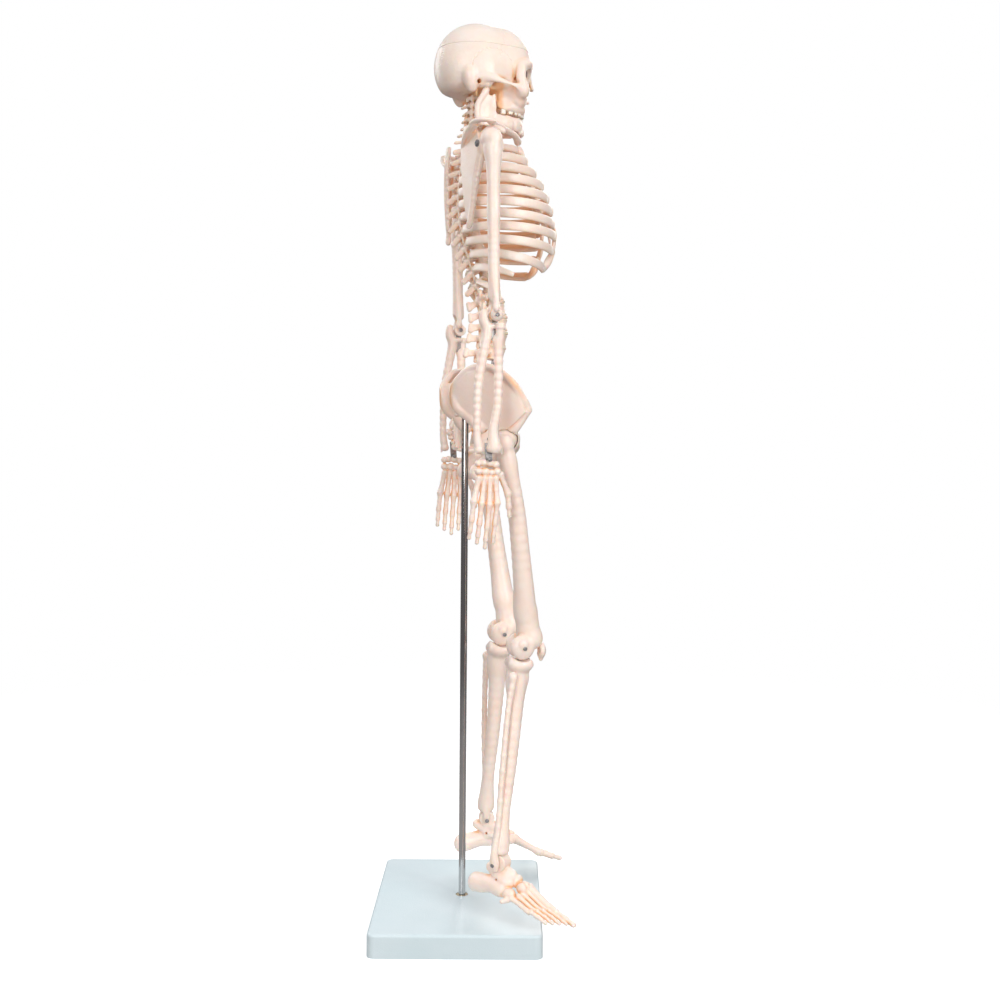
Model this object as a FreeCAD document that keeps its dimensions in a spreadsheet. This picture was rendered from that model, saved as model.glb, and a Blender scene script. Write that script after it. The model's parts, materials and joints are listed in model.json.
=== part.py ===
# Human skeleton model on a stand, half of life size, hung on a chrome pole.
# The origin is on the pole's axis at the floor. +Z is up, the skeleton faces -Y and its right side is at -X.
import FreeCAD, Part
import Sketcher
import math
import os
from FreeCAD import Placement, Rotation, Vector

os.makedirs("parts", exist_ok=True)
doc = FreeCAD.newDocument("SkeletonModel")

# ---------------------------------------------------------------- driving dimensions, in millimetres and degrees

DIMENSIONS = {
    # stand
    "base_width": 200, "base_depth": 155, "base_thick": 21, "base_corner": 7, "base_edge": 2.5,
    "base_turn": -13, "pole_setback": 3, "pole_radius": 3.25, "pole_top": 518, "pole_foot": 6,
    "insert_radius": 6, "pad_radius": 8, "pad_thick": 2, "running_gap": 0.05, "bone_gap": 0.3,
    # spine
    "rod_radius": 1.5, "rod_hole_gap": 0.5, "spine_start": 529, "neck_forward": 10,
    "lumbar_step": 14.2, "lumbar_body": 9.5, "thoracic_step": 11.5, "thoracic_body": 7.2,
    "cervical_step": 7.2, "cervical_body": 5.4, "disc_share": 0.24,
    # pelvis
    "sacrum_length": 66, "sacrum_width": 50, "socket_radius": 7.5, "hip_out": 44, "hip_forward": 29,
    "hip_height": 455, "femur_head": 11, "hip_cup": 15.5, "ilium_radius": 36, "ilium_thick": 5,
    "ramus_radius": 4.5,
    # rib cage
    "rib_tall": 9, "rib_thick": 3, "rib_out_first": 27, "rib_out_most": 65, "sternum_thick": 5,
    "sternum_width": 13, "cartilage_radius": 2.3,
    # skull
    "skull_wide": 36.5, "skull_long": 46.5, "skull_tall": 42, "skull_wall": 3, "skull_forward": 15.7,
    "skull_height": 808, "skull_cut": 824, "skull_floor": 792, "skull_base": 781.8, "jaw_height": 786,
    "jaw_out": 27, "jaw_forward": 13, "chin_forward": 52, "chin_height": 744,
    # arm
    "shoulder_out": 85, "shoulder_forward": 6, "shoulder_height": 722, "humerus_head": 10.5,
    "humerus_radius": 5.2, "elbow_forward": 9.5, "elbow_height": 565, "elbow_radius": 6,
    "forearm_radius": 3.6, "wrist_forward": 5, "wrist_height": 437, "finger_radius": 2.6,
    # leg
    "femur_radius": 7, "knee_out": 42, "knee_forward": 46, "knee_height": 263, "condyle_radius": 12,
    "knee_width": 30, "tibia_radius": 6.2, "fibula_radius": 2.8, "ankle_out": 66, "ankle_height": 72,
    "ankle_forward_right": 22, "ankle_forward_left": 37, "toe_out_right": 46, "toe_out_left": -6,
    "foot_drop_right": 9, "foot_drop_left": 5, "talus_radius": 7.5,
    # fittings
    "pin_radius": 1.25, "strap_thick": 1.6,
}

sheet = doc.addObject("Spreadsheet::Sheet", "Size")
for row, (alias, value) in enumerate(DIMENSIONS.items(), start=1):
    sheet.set(f"A{row}", alias)
    sheet.set(f"B{row}", str(value))
    sheet.setAlias(f"B{row}", alias)
doc.recompute()


def size(alias):
    return float(sheet.get(alias))


RIGHT, LEFT = -1, 1
SIDES = {"r": RIGHT, "l": LEFT}
UP = Vector(0, 0, 1)
ACROSS = Vector(1, 0, 0)
sub_parts = []


def at(side, out, forward, height):
    """A point by its distance out from the middle, forward of the pole and above the floor."""
    return Vector(side * out, -forward, height)


# ---------------------------------------------------------------- helpers: primitives bound to the sheet

def bind(item, **sizes):
    for name, expression in sizes.items():
        item.setExpression(name, expression)
    return item


def rod(start, end, radius):
    """A round bar of one radius from start to end."""
    item = bind(doc.addObject("Part::Cylinder", "Rod"), Radius=radius)
    item.Height = (end - start).Length
    item.Placement = Placement(start, Rotation(UP, end - start))
    return item


def taper(start, end, radius_start, radius_end):
    """A round bar that tapers from start to end."""
    item = bind(doc.addObject("Part::Cone", "Taper"), Radius1=radius_start, Radius2=radius_end)
    item.Height = (end - start).Length
    item.Placement = Placement(start, Rotation(UP, end - start))
    return item


def ball(centre, radius):
    item = bind(doc.addObject("Part::Sphere", "Ball"), Radius=radius)
    item.Placement.Base = centre
    return item


def block(centre, length, width, height, turn=Rotation()):
    """A box centred on a point; its three sizes are expressions."""
    item = bind(doc.addObject("Part::Box", "Block"), Length=length, Width=width, Height=height)
    doc.recompute([item])
    half = Vector(item.Length.Value / 2, item.Width.Value / 2, item.Height.Value / 2)
    item.Placement = Placement(centre - turn.multVec(half), turn)
    return item


def egg(centre, along_x, along_y, along_z):
    item = bind(doc.addObject("Part::Ellipsoid", "Egg"), Radius1=along_z, Radius2=along_x, Radius3=along_y)
    item.Placement.Base = centre
    return item


def fuse(*items):
    if len(items) == 1:
        return items[0]
    item = doc.addObject("Part::MultiFuse", "Fusion")
    item.Shapes = list(items)
    return item


def cut(base, *tools):
    item = doc.addObject("Part::Cut", "Cut")
    item.Base = base
    item.Tool = fuse(*tools)
    return item


def common(first, second):
    item = doc.addObject("Part::MultiCommon", "Common")
    item.Shapes = [first, second]
    return item


def group(*items):
    item = doc.addObject("Part::Compound", "Group")
    item.Links = list(items)
    return item


def mirrored(item):
    """The same part on the other side of the body."""
    copy = doc.addObject("Part::Mirroring", "Mirrored")
    copy.Source = item
    copy.Normal = ACROSS
    return copy


def feature(shape):
    item = doc.addObject("Part::Feature", "Formed")
    item.Shape = shape
    return item


def sub_part(label, item):
    item.Label = label
    sub_parts.append(item)
    return item


def origin_plane(body, role):
    return next(plane for plane in body.Origin.OriginFeatures if plane.Role == role)


def pin_across(centre, half_length, radius):
    """A pin along X through a centre."""
    reach = ACROSS * half_length
    return rod(centre - reach, centre + reach, radius)


def disc_across(centre, radius, width):
    """A round slot or disc, its axis along X, centred on a point."""
    item = bind(doc.addObject("Part::Cylinder", "Disc"), Radius=radius, Height=width)
    doc.recompute([item])
    item.Placement = Placement(centre - ACROSS * (item.Height.Value / 2), Rotation(UP, ACROSS))
    return item


# ---------------------------------------------------------------- stand

BASE_TURN = Rotation(UP, size("base_turn"))
PAD_INSET = 16


def make_base_plate():
    body = doc.addObject("PartDesign::Body", "BasePlate")
    outline = body.newObject("Sketcher::SketchObject", "BaseOutline")
    outline.AttachmentSupport = [(origin_plane(body, "XY_Plane"), "")]
    outline.MapMode = "FlatFace"
    half_x, half_y, set_back = size("base_width") / 2, size("base_depth") / 2, size("pole_setback")
    corners = [Vector(-half_x, set_back - half_y, 0), Vector(half_x, set_back - half_y, 0),
               Vector(half_x, set_back + half_y, 0), Vector(-half_x, set_back + half_y, 0)]
    for index in range(4):
        outline.addGeometry(Part.LineSegment(corners[index], corners[(index + 1) % 4]))
    for index in range(4):
        outline.addConstraint(Sketcher.Constraint("Coincident", index, 2, (index + 1) % 4, 1))
    for index in (0, 2):
        outline.addConstraint(Sketcher.Constraint("Horizontal", index))
        outline.addConstraint(Sketcher.Constraint("Vertical", index + 1))
    width = outline.addConstraint(Sketcher.Constraint("DistanceX", 0, 1, 0, 2, 2 * half_x))
    outline.setExpression(f"Constraints[{width}]", "Size.base_width")
    depth = outline.addConstraint(Sketcher.Constraint("DistanceY", 1, 1, 1, 2, 2 * half_y))
    outline.setExpression(f"Constraints[{depth}]", "Size.base_depth")
    left = outline.addConstraint(Sketcher.Constraint("DistanceX", 0, 1, -1, 1, half_x))
    outline.setExpression(f"Constraints[{left}]", "Size.base_width / 2")
    back = outline.addConstraint(Sketcher.Constraint("DistanceY", -1, 1, 2, 1, set_back + half_y))
    outline.setExpression(f"Constraints[{back}]", "Size.base_depth / 2 + Size.pole_setback")
    pad = body.newObject("PartDesign::Pad", "BasePad")
    pad.Profile = outline
    pad.setExpression("Length", "Size.base_thick")
    doc.recompute()
    upright = [f"Edge{index}" for index, edge in enumerate(pad.Shape.Edges, start=1)
               if abs(edge.Vertexes[0].Z - edge.Vertexes[-1].Z) > 1]
    corner = body.newObject("PartDesign::Fillet", "BaseCorners")
    corner.Base = (pad, upright)
    corner.setExpression("Radius", "Size.base_corner")
    doc.recompute()
    top = [f"Edge{index}" for index, edge in enumerate(corner.Shape.Edges, start=1)
           if edge.BoundBox.ZMin > size("base_thick") - 0.01]
    rounding = body.newObject("PartDesign::Fillet", "BaseTopEdge")
    rounding.Base = (corner, top)
    rounding.setExpression("Radius", "Size.base_edge")
    body.Tip = rounding
    body.Placement = Placement(Vector(), BASE_TURN)
    return body


def pad_centres():
    """The four pads under the plate's corners."""
    reach_x, reach_y = size("base_width") / 2 - PAD_INSET, size("base_depth") / 2 - PAD_INSET
    for x in (-reach_x, reach_x):
        for y in (-reach_y, reach_y):
            yield BASE_TURN.multVec(Vector(x, y + size("pole_setback"), 0))


def make_stand():
    thick, pad = size("base_thick"), Vector(0, 0, size("pad_thick"))
    foot = Vector(0, 0, size("pole_foot"))
    floor = Vector(0, 0, 4)
    seats = [rod(centre, centre + pad, "Size.pad_radius + 0.1") for centre in pad_centres()]
    hole = rod(floor, Vector(0, 0, thick + 1), "Size.insert_radius")
    sub_part("base_plate", cut(make_base_plate(), hole, *seats))
    pads = [rod(centre, centre + pad, "Size.pad_radius") for centre in pad_centres()]
    sub_part("base_pads", group(*pads))
    bush = rod(floor, Vector(0, 0, thick - 0.5), "Size.insert_radius")
    well = rod(foot, Vector(0, 0, thick), "Size.pole_radius")
    sub_part("pole_insert", cut(bush, well))
    top = Vector(0, 0, size("pole_top"))
    sub_part("pole", rod(foot, top, "Size.pole_radius"))


# ---------------------------------------------------------------- spine

# Corners of the rod's bends in the side view: (forward, height).
SPINE_CORNERS = [(24, 516), (35, 568), (-1, 672), (size("neck_forward"), 750), (size("neck_forward"), 800)]
BEND_SHARE = 0.45


def spine_arcs():
    """The rod's line as straight runs and arcs: (kind, start, end, arc centre, radius) in the side view."""
    corners = [Vector(forward, height, 0) for forward, height in SPINE_CORNERS]
    pieces = []
    last = corners[0]
    for before, corner, after in zip(corners, corners[1:], corners[2:]):
        arriving, leaving = (corner - before).normalize(), (after - corner).normalize()
        turn = arriving.getAngle(leaving)
        reach = BEND_SHARE * min((corner - before).Length, (after - corner).Length)
        radius = reach / math.tan(turn / 2)
        start, end = corner - arriving * reach, corner + leaving * reach
        inward = (leaving - arriving).normalize()
        centre = corner + inward * (radius / math.cos(turn / 2))
        pieces.append(("run", last, start, None, 0))
        pieces.append(("arc", start, end, centre, radius))
        last = end
    pieces.append(("run", last, corners[-1], None, 0))
    return pieces


def spine_at(length):
    """Point (forward, height) and forward lean in degrees, at a length along the rod from its lower end."""
    for kind, start, end, centre, radius in spine_arcs():
        if kind == "run":
            extent = (end - start).Length
        else:
            extent = radius * (start - centre).getAngle(end - centre)
        if length <= extent or end.y > size("skull_floor"):
            break
        length -= extent
    if kind == "run":
        heading = (end - start).normalize()
        point = start + heading * length
    else:
        spin = 1 if (start - centre).cross(end - centre).z > 0 else -1
        angle = spin * length / radius
        arm = Rotation(UP, math.degrees(angle)).multVec(start - centre)
        point = centre + arm
        heading = UP.cross(arm).normalize() * spin
    return point.x, point.y, math.degrees(math.atan2(heading.x, heading.y))


def spine_length_at(height):
    """Length along the rod where it reaches a height."""
    low, high = 0.0, 330.0
    for _ in range(40):
        middle = (low + high) / 2
        low, high = (middle, high) if spine_at(middle)[1] < height else (low, middle)
    return low


def vertebra_list():
    """(region, number, middle length, step) of every vertebra, from the lowest up."""
    found = []
    along = spine_length_at(size("spine_start"))
    for region, count in (("lumbar", 5), ("thoracic", 12), ("cervical", 7)):
        for index in range(count):
            step = size(region + "_step")
            if region == "thoracic":
                step += 1.0 - 2.0 * index / (count - 1)
            if region == "cervical":
                step -= 0.35 * index / (count - 1)
            found.append((region, count - index, along + step / 2, step))
            along += step
    return found


def frame_at(length):
    forward, height, lean = spine_at(length)
    return Placement(Vector(0, -forward, height), Rotation(ACROSS, lean))


# Per region: spinous reach, spinous drop, transverse reach, process radius, as shares of the body's radius.
PROCESSES = {"lumbar": (2.9, 0.35, 2.05, 0.3), "thoracic": (3.3, 1.3, 2.0, 0.3), "cervical": (3.2, 0.7, 2.1, 0.33)}


def make_vertebra(region, number, length, step):
    radius = size(region + "_body")
    bound = f"Size.{region}_body"
    back, drop, out, thick = PROCESSES[region]
    height = step * (1 - size("disc_share"))
    place = frame_at(length)
    half = height / 2 - size("bone_gap") / 2
    pieces = [
        rod(Vector(0, 0, -half), Vector(0, 0, half), bound),
        block(Vector(0, radius * 1.25, 0), bound, f"{bound} * 1.1", f"{half * 1.1}"),
        taper(Vector(0, radius * 1.5, 0), Vector(0, radius * back, -radius * drop),
              f"{bound} * {thick * 1.3}", f"{bound} * {thick}"),
    ]
    for side in (RIGHT, LEFT):
        root = Vector(side * radius * 0.4, radius * 1.1, 0)
        tip = Vector(side * radius * out, radius * 1.45, radius * 0.15)
        pieces.append(taper(root, tip, f"{bound} * {thick * 1.1}", f"{bound} * {thick * 0.95}"))
    bore = rod(Vector(0, 0, -step), Vector(0, 0, step), "Size.rod_radius + Size.rod_hole_gap")
    bone = cut(fuse(*pieces), bore)
    bone.Placement = place
    return bone


def make_disc(region, length, below, above):
    """The disc on top of a vertebra, thin enough to clear both bodies where the spine bends."""
    middle = length + below / 2
    lean_below, lean_above = spine_at(length)[2], spine_at(middle + above / 2)[2]
    bend = math.radians(abs(lean_above - lean_below) / 2)
    spare = size("bone_gap") / 2 + size(region + "_body") * math.tan(bend)
    share = size("disc_share") / 2
    start, end = Vector(0, 0, spare - below * share), Vector(0, 0, above * share - spare)
    ring = rod(start, end, f"Size.{region}_body * 0.97")
    bore = rod(start * 3, end * 3, "Size.rod_radius + Size.rod_hole_gap")
    disc = cut(ring, bore)
    disc.Placement = frame_at(middle)
    return disc


def make_rod():
    """The bent steel rod that all the vertebrae are threaded on."""
    edges = []
    for kind, start, end, centre, radius in spine_arcs():
        first, last = (Vector(0, -point.x, point.y) for point in (start, end))
        if kind == "run":
            edges.append(Part.LineSegment(first, last).toShape())
            continue
        middle = (start + end) * 0.5 - centre
        crown = centre + middle.normalize() * radius
        edges.append(Part.Arc(first, Vector(0, -crown.x, crown.y), last).toShape())
    path = Part.Wire(edges)
    heading = edges[0].Vertexes[-1].Point - edges[0].Vertexes[0].Point
    section = Part.Wire(Part.Circle(edges[0].Vertexes[0].Point, heading, size("rod_radius")).toShape())
    return feature(path.makePipeShell([section], True, False))


def make_spine():
    bones = {"lumbar": [], "thoracic": [], "cervical": []}
    discs = []
    vertebrae = vertebra_list()
    for index, (region, number, length, step) in enumerate(vertebrae):
        bones[region].append(make_vertebra(region, number, length, step))
        if index < len(vertebrae) - 2:
            discs.append(make_disc(region, length, step, vertebrae[index + 1][3]))
    for region, pieces in bones.items():
        sub_part(region + "_vertebrae", group(*pieces))
    sub_part("spinal_discs", group(*discs))
    sub_part("spine_rod", make_rod())
    floor = Vector(0, -size("neck_forward"), size("skull_floor"))
    nut = rod(floor + UP * 0.4, floor + UP * 3.4, "Size.rod_radius * 2.3")
    hole = rod(floor, floor + UP * 5, "Size.rod_radius")
    sub_part("skull_nut", cut(nut, hole))


# ---------------------------------------------------------------- pelvis

SACRUM_TOP = Vector(0, -21, 521)
SACRUM_LEAN = 32


def sacrum_wedge(margin):
    """The tapered block of the sacrum, grown by a margin on its sides and faces."""
    wedge = doc.addObject("Part::Wedge", "SacrumWedge")
    grow = f"+ {margin}"
    bind(wedge, Xmin=f"-(Size.sacrum_width / 2 {grow})", Xmax=f"Size.sacrum_width / 2 {grow}",
         X2min=f"-(Size.sacrum_width / 5 {grow})", X2max=f"Size.sacrum_width / 5 {grow}",
         Ymin=f"-{margin}", Ymax=f"Size.sacrum_length {grow}",
         Zmin=f"-(12 {grow})", Zmax=f"12 {grow}", Z2min=f"-(4 {grow})", Z2max=f"4 {grow}")
    # The wedge's own Y runs down the bone and back, and its own Z runs towards the skeleton's back.
    wedge.Placement = Placement(SACRUM_TOP, Rotation(ACROSS, SACRUM_LEAN - 90))
    return wedge


def make_sacrum():
    top = size("pole_top")
    boss = rod(Vector(0, 0, top - 42), Vector(0, 0, top + 3), "Size.socket_radius")
    bore = rod(Vector(0, 0, top - 60), Vector(0, 0, top + 0.05), "Size.pole_radius + Size.running_gap")
    low, high = frame_at(0), frame_at(30)
    channel = rod(low.Base - Vector(0, 0, 1), high.Base, "Size.rod_radius + Size.rod_hole_gap")
    top_gap = block(Vector(0, low.Base.y, size("spine_start") + 19.6), "80", "80", "40")
    return cut(fuse(sacrum_wedge(0), boss), bore, channel, top_gap)


def hip_centre(side):
    return at(side, size("hip_out"), size("hip_forward"), size("hip_height"))


def make_hip_bone(side):
    centre = hip_centre(side)
    # The wing is a thin disc through the front spine, the crest and the back spine.
    front, crest, back = at(side, 60, 46, 481), at(side, 61, 15, 521), at(side, 24, -17, 499)
    normal = (crest - front).cross(back - front).normalize()
    hub = (front + crest + back) * (1 / 3) + at(side, 0, 2.3, -5.6)
    wing_half = normal * (size("ilium_thick") / 2)
    wing = rod(hub - wing_half, hub + wing_half, "Size.ilium_radius")
    below = block(hub - Vector(0, 0, 58), "120", "120", "60")
    wing_top = cut(wing, below)
    neck = taper(centre + at(side, -4, -1, 2), hub + at(side, 1, -1, -4), "Size.hip_cup * 0.82", "Size.hip_cup * 0.46")
    seat = at(side, 29, 6, 424)
    pubis = at(side, 7, 43, 441)
    pieces = [
        wing_top, neck, ball(centre + at(side, -4, 0, 0), "Size.hip_cup"),
        taper(centre + at(side, -8, -8, -6), seat, "Size.ramus_radius * 1.8", "Size.ramus_radius * 1.4"),
        ball(seat, "Size.ramus_radius * 1.62"),
        rod(centre + at(side, -9, 5, -3), pubis, "Size.ramus_radius"),
        rod(pubis, seat, "Size.ramus_radius * 0.8"),
        ball(pubis, "Size.ramus_radius * 1.3"),
    ]
    cup = ball(centre, "Size.femur_head + 0.6")
    mouth = block(centre + at(side, 22.5, 0, 0), "40", "60", "34")
    screw = pin_across(centre, 22, "Size.pin_radius")
    inner = block(at(side, 0, 30, 470), "6.6", "90", "140")
    return cut(fuse(*pieces), cup, mouth, screw, inner)


def make_pelvis():
    sub_part("sacrum", make_sacrum())
    tail = taper(Vector(0, 15, 461.6), Vector(0, 8.5, 446), "3.6", "1.8")
    sub_part("coccyx", tail)
    right_bone = sub_part("hip_bone_r", cut(make_hip_bone(RIGHT), sacrum_wedge(0.4)))
    sub_part("hip_bone_l", mirrored(right_bone))
    disc = pin_across(at(RIGHT, 0, 43, 441), 3, "Size.ramus_radius * 1.1")
    sub_part("pubic_disc", disc)
    screws = []
    for side in (RIGHT, LEFT):
        for forward, height in ((-2, 497), (-6, 487)):
            start = at(side, 12, forward, height)
            screws.append(rod(start, at(side, 30, forward, height), "Size.pin_radius * 0.8"))
    return screws


# ---------------------------------------------------------------- rib cage

RIB_COUNT = 12
TRUE_RIBS = 7


def thoracic_length(number):
    return next(length for region, index, length, _ in vertebra_list() if region == "thoracic" and index == number)


def rib_reach(number):
    """Half the rib cage's outside breadth at a rib."""
    first, most = size("rib_out_first"), size("rib_out_most")
    if number <= 8:
        return first + (most - first) * (1 - ((8 - number) / 7) ** 2)
    return most - 1.1 * (number - 8) ** 2


def rib_front(number):
    """(forward, height) of the rib's front end."""
    if number <= TRUE_RIBS:
        return 47 + 31 * math.sin(math.pi / 2 * (number - 1) / 6), 730 - 12 * (number - 1)
    if number <= 10:
        return 80 - 2 * (number - 8) ** 2, 730 - 12 * (number - 1)
    return (46, 600) if number == 11 else (24, 588)


def rib_sweep(number):
    """Angle along the rib's oval, from the back, where the rib ends."""
    return math.radians({1: 150, 11: 104, 12: 84}.get(number, 152 - 0.6 * abs(number - 5)))


def rib_oval(number):
    """The oval's back point, its tilt, its half breadth and its half depth."""
    forward, height, _ = spine_at(thoracic_length(number))
    back_forward, back_height = forward - 2.35 * size("thoracic_body"), height + 1.5
    front_forward, front_height = rib_front(number)
    run = math.hypot(front_forward - back_forward, front_height - back_height)
    tilt = math.atan2(back_height - front_height, front_forward - back_forward)
    half_depth = run / (1 - math.cos(rib_sweep(number)))
    return back_forward, back_height, tilt, rib_reach(number), half_depth


def rib_point(number, side, angle, inset=0.0):
    back_forward, back_height, tilt, reach, half_depth = rib_oval(number)
    along = half_depth - (half_depth - inset) * math.cos(angle)
    out = (reach - inset) * math.sin(angle)
    return at(side, out, back_forward + along * math.cos(tilt), back_height - along * math.sin(tilt))


def make_rib(number, side):
    """A flat band along an oval that slopes down to the front."""
    back_forward, back_height, tilt, reach, half_depth = rib_oval(number)
    first = math.asin(2.32 * size("thoracic_body") / reach)
    last = rib_sweep(number)
    hub = Vector(0, -half_depth, 0)
    edges = []
    for inset in (0.0, size("rib_thick")):
        wide, deep = reach - inset, half_depth - inset
        # The ellipse's parameter runs from the back of the oval, out and round to its front.
        points = []
        for share in (0, 0.5, 1):
            angle = first + (last - first) * share
            points.append(hub + Vector(side * wide * math.sin(angle), deep * math.cos(angle), 0))
        long_axis = max(wide, deep)
        short_axis = min(wide, deep)
        oval = Part.Ellipse(hub, long_axis, short_axis)
        if deep > wide:
            oval.rotate(Placement(hub, Rotation(UP, 90), Vector()))
        ends = [oval.parameter(points[0]), oval.parameter(points[2])]
        arc = Part.ArcOfEllipse(oval, ends[0], ends[1])
        if arc.toShape().distToShape(Part.Vertex(points[1]))[0] > 0.1:
            arc = Part.ArcOfEllipse(oval, ends[1], ends[0])
        edges.append((arc.toShape(), points[0], points[2]))
    (outer, outer_start, outer_end), (inner, inner_start, inner_end) = edges
    wire = Part.Wire(Part.__sortEdges__([outer, inner, Part.LineSegment(outer_start, inner_start).toShape(),
                                         Part.LineSegment(outer_end, inner_end).toShape()]))
    tall = size("rib_tall") * (0.75 if number in (1, 12) else 1.0)
    band = Part.Face(wire).extrude(Vector(0, 0, tall))
    rib = feature(band)
    turn = Rotation(ACROSS, math.degrees(tilt))
    rib.Placement = Placement(Vector(0, -back_forward, back_height) - turn.multVec(Vector(0, 0, tall / 2)), turn)
    return rib


# The breastbone's middle line in the side view, from its top down: (forward, height).
STERNUM_LINE = [(49, 734), (57, 713), (80, 656), (83, 641)]


def sternum_at(height):
    """How far forward the breastbone's middle line is at a height."""
    for (forward_a, height_a), (forward_b, height_b) in zip(STERNUM_LINE, STERNUM_LINE[1:]):
        if height >= height_b:
            break
    share = (height_a - height) / (height_a - height_b)
    return forward_a + share * (forward_b - forward_a)


def slab(start, end, width, thick):
    """A flat bar across the body's middle plane, from start to end."""
    run = end - start
    turn = Rotation(UP, run)
    return block(start + run * 0.5, width, thick, f"{run.Length}", turn)


def make_sternum():
    points = [at(RIGHT, 0, forward, height) for forward, height in STERNUM_LINE]
    top = slab(points[0], points[1], "Size.sternum_width * 1.8", "Size.sternum_thick")
    body = slab(points[1], points[2], "Size.sternum_width", "Size.sternum_thick")
    tip = taper(points[2] + Vector(0, 0, 3), points[3], "Size.sternum_width * 0.17", "1.2")
    return fuse(top, body, tip)


def make_cartilage(number, side):
    """The gristle from a rib's front end to the breastbone, or for ribs 8 to 10 towards the one above."""
    reach = size("rib_thick") / 2
    tall = size("cartilage_radius")
    start = rib_point(number, side, rib_sweep(number), reach)
    if number <= TRUE_RIBS:
        height = 728 - 11.5 * (number - 1)
        half = size("sternum_width") * (1.0 if number <= 2 else 0.5) + 1.8
        end = at(side, half, sternum_at(height), height)
    else:
        end = rib_point(number - 1, side, rib_sweep(number - 1), reach) + at(side, -9, 4, -3)
    run = (end - start).normalize()
    return rod(start + run * (tall + 1.0), end - run * (1.6 if number <= TRUE_RIBS else tall + 0.6),
               "Size.cartilage_radius")


def make_rib_cage():
    sub_part("sternum", make_sternum())
    for letter, side in SIDES.items():
        ribs = [make_rib(number, side) for number in range(1, RIB_COUNT + 1)]
        sub_part("ribs_" + letter, group(*ribs))
        gristle = [make_cartilage(number, side) for number in range(1, 11)]
        sub_part("costal_cartilage_" + letter, group(*gristle))


# ---------------------------------------------------------------- shoulder girdle

def shoulder(side):
    return at(side, size("shoulder_out"), size("shoulder_forward"), size("shoulder_height"))


def make_blade_body(side):
    """The triangular shoulder blade, a flat plate that leans on the ribs."""
    top, tip, socket = at(side, 41, -14, 744), at(side, 50, -11, 647), at(side, 70, 1, 722)
    normal = (tip - top).cross(socket - top).normalize()
    backward = normal if normal.y > 0 else normal * -1
    edge, notch = at(side, 58, -7, 668), at(side, 64, -3, 735)
    edge, notch = (point - normal * (point - top).dot(normal) for point in (edge, notch))
    face = Part.Face(Part.makePolygon([top, tip, edge, socket, notch, top]))
    return feature(face.extrude(backward * 2.4))


def make_scapula(side):
    centre = shoulder(side)
    neck = at(side, 69, 3, 721)
    ridge_end = at(side, 77, -7, 737)
    pieces = [
        make_blade_body(side),
        taper(neck - at(side, 6, 4, 0), centre - at(side, 12.5, 0, 0), "4.2", "6.2"),
        taper(at(side, 44, -13, 727), ridge_end, "2.2", "3.4"),
        rod(ridge_end, at(side, 82, 6, 737.5), "2.6"),
        taper(at(side, 66, 2, 728), at(side, 68, 16, 733), "3.4", "2.6"),
    ]
    bore = rod(centre - at(side, 22, 0, 0), centre, "Size.pin_radius + Size.running_gap")
    head_room = ball(centre, "Size.humerus_head + 0.8")
    return cut(fuse(*pieces), bore, head_room)


def make_clavicle(side):
    inner, bend, outer = at(side, 14, 47, 739.5), at(side, 40, 30, 740.4), at(side, 74, 7, 741)
    return fuse(taper(inner, bend, "3.4", "2.6"), ball(bend, "2.6"), taper(bend, outer, "2.6", "3"))


def make_girdle():
    screws = []
    for letter, side in SIDES.items():
        sub_part("clavicle_" + letter, make_clavicle(side))
        sub_part("scapula_" + letter, make_scapula(side))
        for number, out in ((3, 34), (6, 38)):
            angle = math.asin(out / rib_reach(number))
            start = rib_point(number, side, angle, 1.5)
            screws.append(rod(start, start + Vector(0, 3, 0), "Size.pin_radius * 0.8"))
    sub_part("back_screws", group(*screws, *make_pelvis()))


# ---------------------------------------------------------------- skull

SKULL = Vector(0, -size("skull_forward"), size("skull_height"))
JAW_SLOT = 3.6


def skull_egg(shrink):
    return egg(SKULL, f"Size.skull_wide - {shrink}", f"Size.skull_long - {shrink}", f"Size.skull_tall - {shrink}")


def slice_between(item, low, high):
    middle = Vector(SKULL.x, SKULL.y, (low + high) / 2)
    return common(item, block(middle, "120", "140", f"{high - low}"))


def jaw_pivot(side):
    return at(side, size("jaw_out"), size("jaw_forward"), size("jaw_height"))


def make_cranium():
    """The lower skull: a hollow bowl with a thick floor, with the face in front."""
    wall = size("skull_wall")
    bowl = slice_between(skull_egg(0), size("skull_base"), size("skull_cut") - 0.05)
    hollow = slice_between(skull_egg(wall), size("skull_floor"), size("skull_height") + 60)
    face = doc.addObject("Part::Wedge", "Face")
    bind(face, Xmin="-20", Xmax="20", Ymin="0", Ymax="24", Zmin="0", Zmax="46",
         X2min="-13", X2max="13", Z2min="2", Z2max="42")
    face.Placement = Placement(Vector(0, -37.5, 765), Rotation(UP, 180))
    tools = [hollow]
    pieces = [bowl]
    for side in (RIGHT, LEFT):
        pivot = jaw_pivot(side)
        eye = at(side, 11.5, 66, 799)
        tools.append(taper(eye, eye + at(side, -3, -24, 0), "8.2", "3"))
        room = block(pivot + at(side, 0, 2, -4), f"{2 * JAW_SLOT}", "19", "16")
        tools.append(room)
        cheek = rod(at(side, 33.5, 12, 790), at(side, 24, 50, 783), "2.1")
        root = rod(at(side, 30, 6, 790), at(side, 33.5, 12, 790), "2.6")
        cheekbone = taper(at(side, 24, 50, 783), at(side, 12, 55, 777), "3.4", "4.5")
        ear = taper(at(side, 28, -4, 790), at(side, 27, -3, 775), "5.5", "3")
        pieces += [cheek, root, cheekbone, ear]
        tools.append(pin_across(pivot, 8, "Size.pin_radius * 0.8"))
    tools.append(taper(Vector(0, -64, 784), Vector(0, -50, 786), "5.5", "3"))
    neck = Vector(0, -size("neck_forward"), 0)
    tools.append(rod(neck + UP * 770, neck + UP * 830, "Size.rod_radius + Size.running_gap"))
    return cut(fuse(face, *pieces), *tools)


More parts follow.
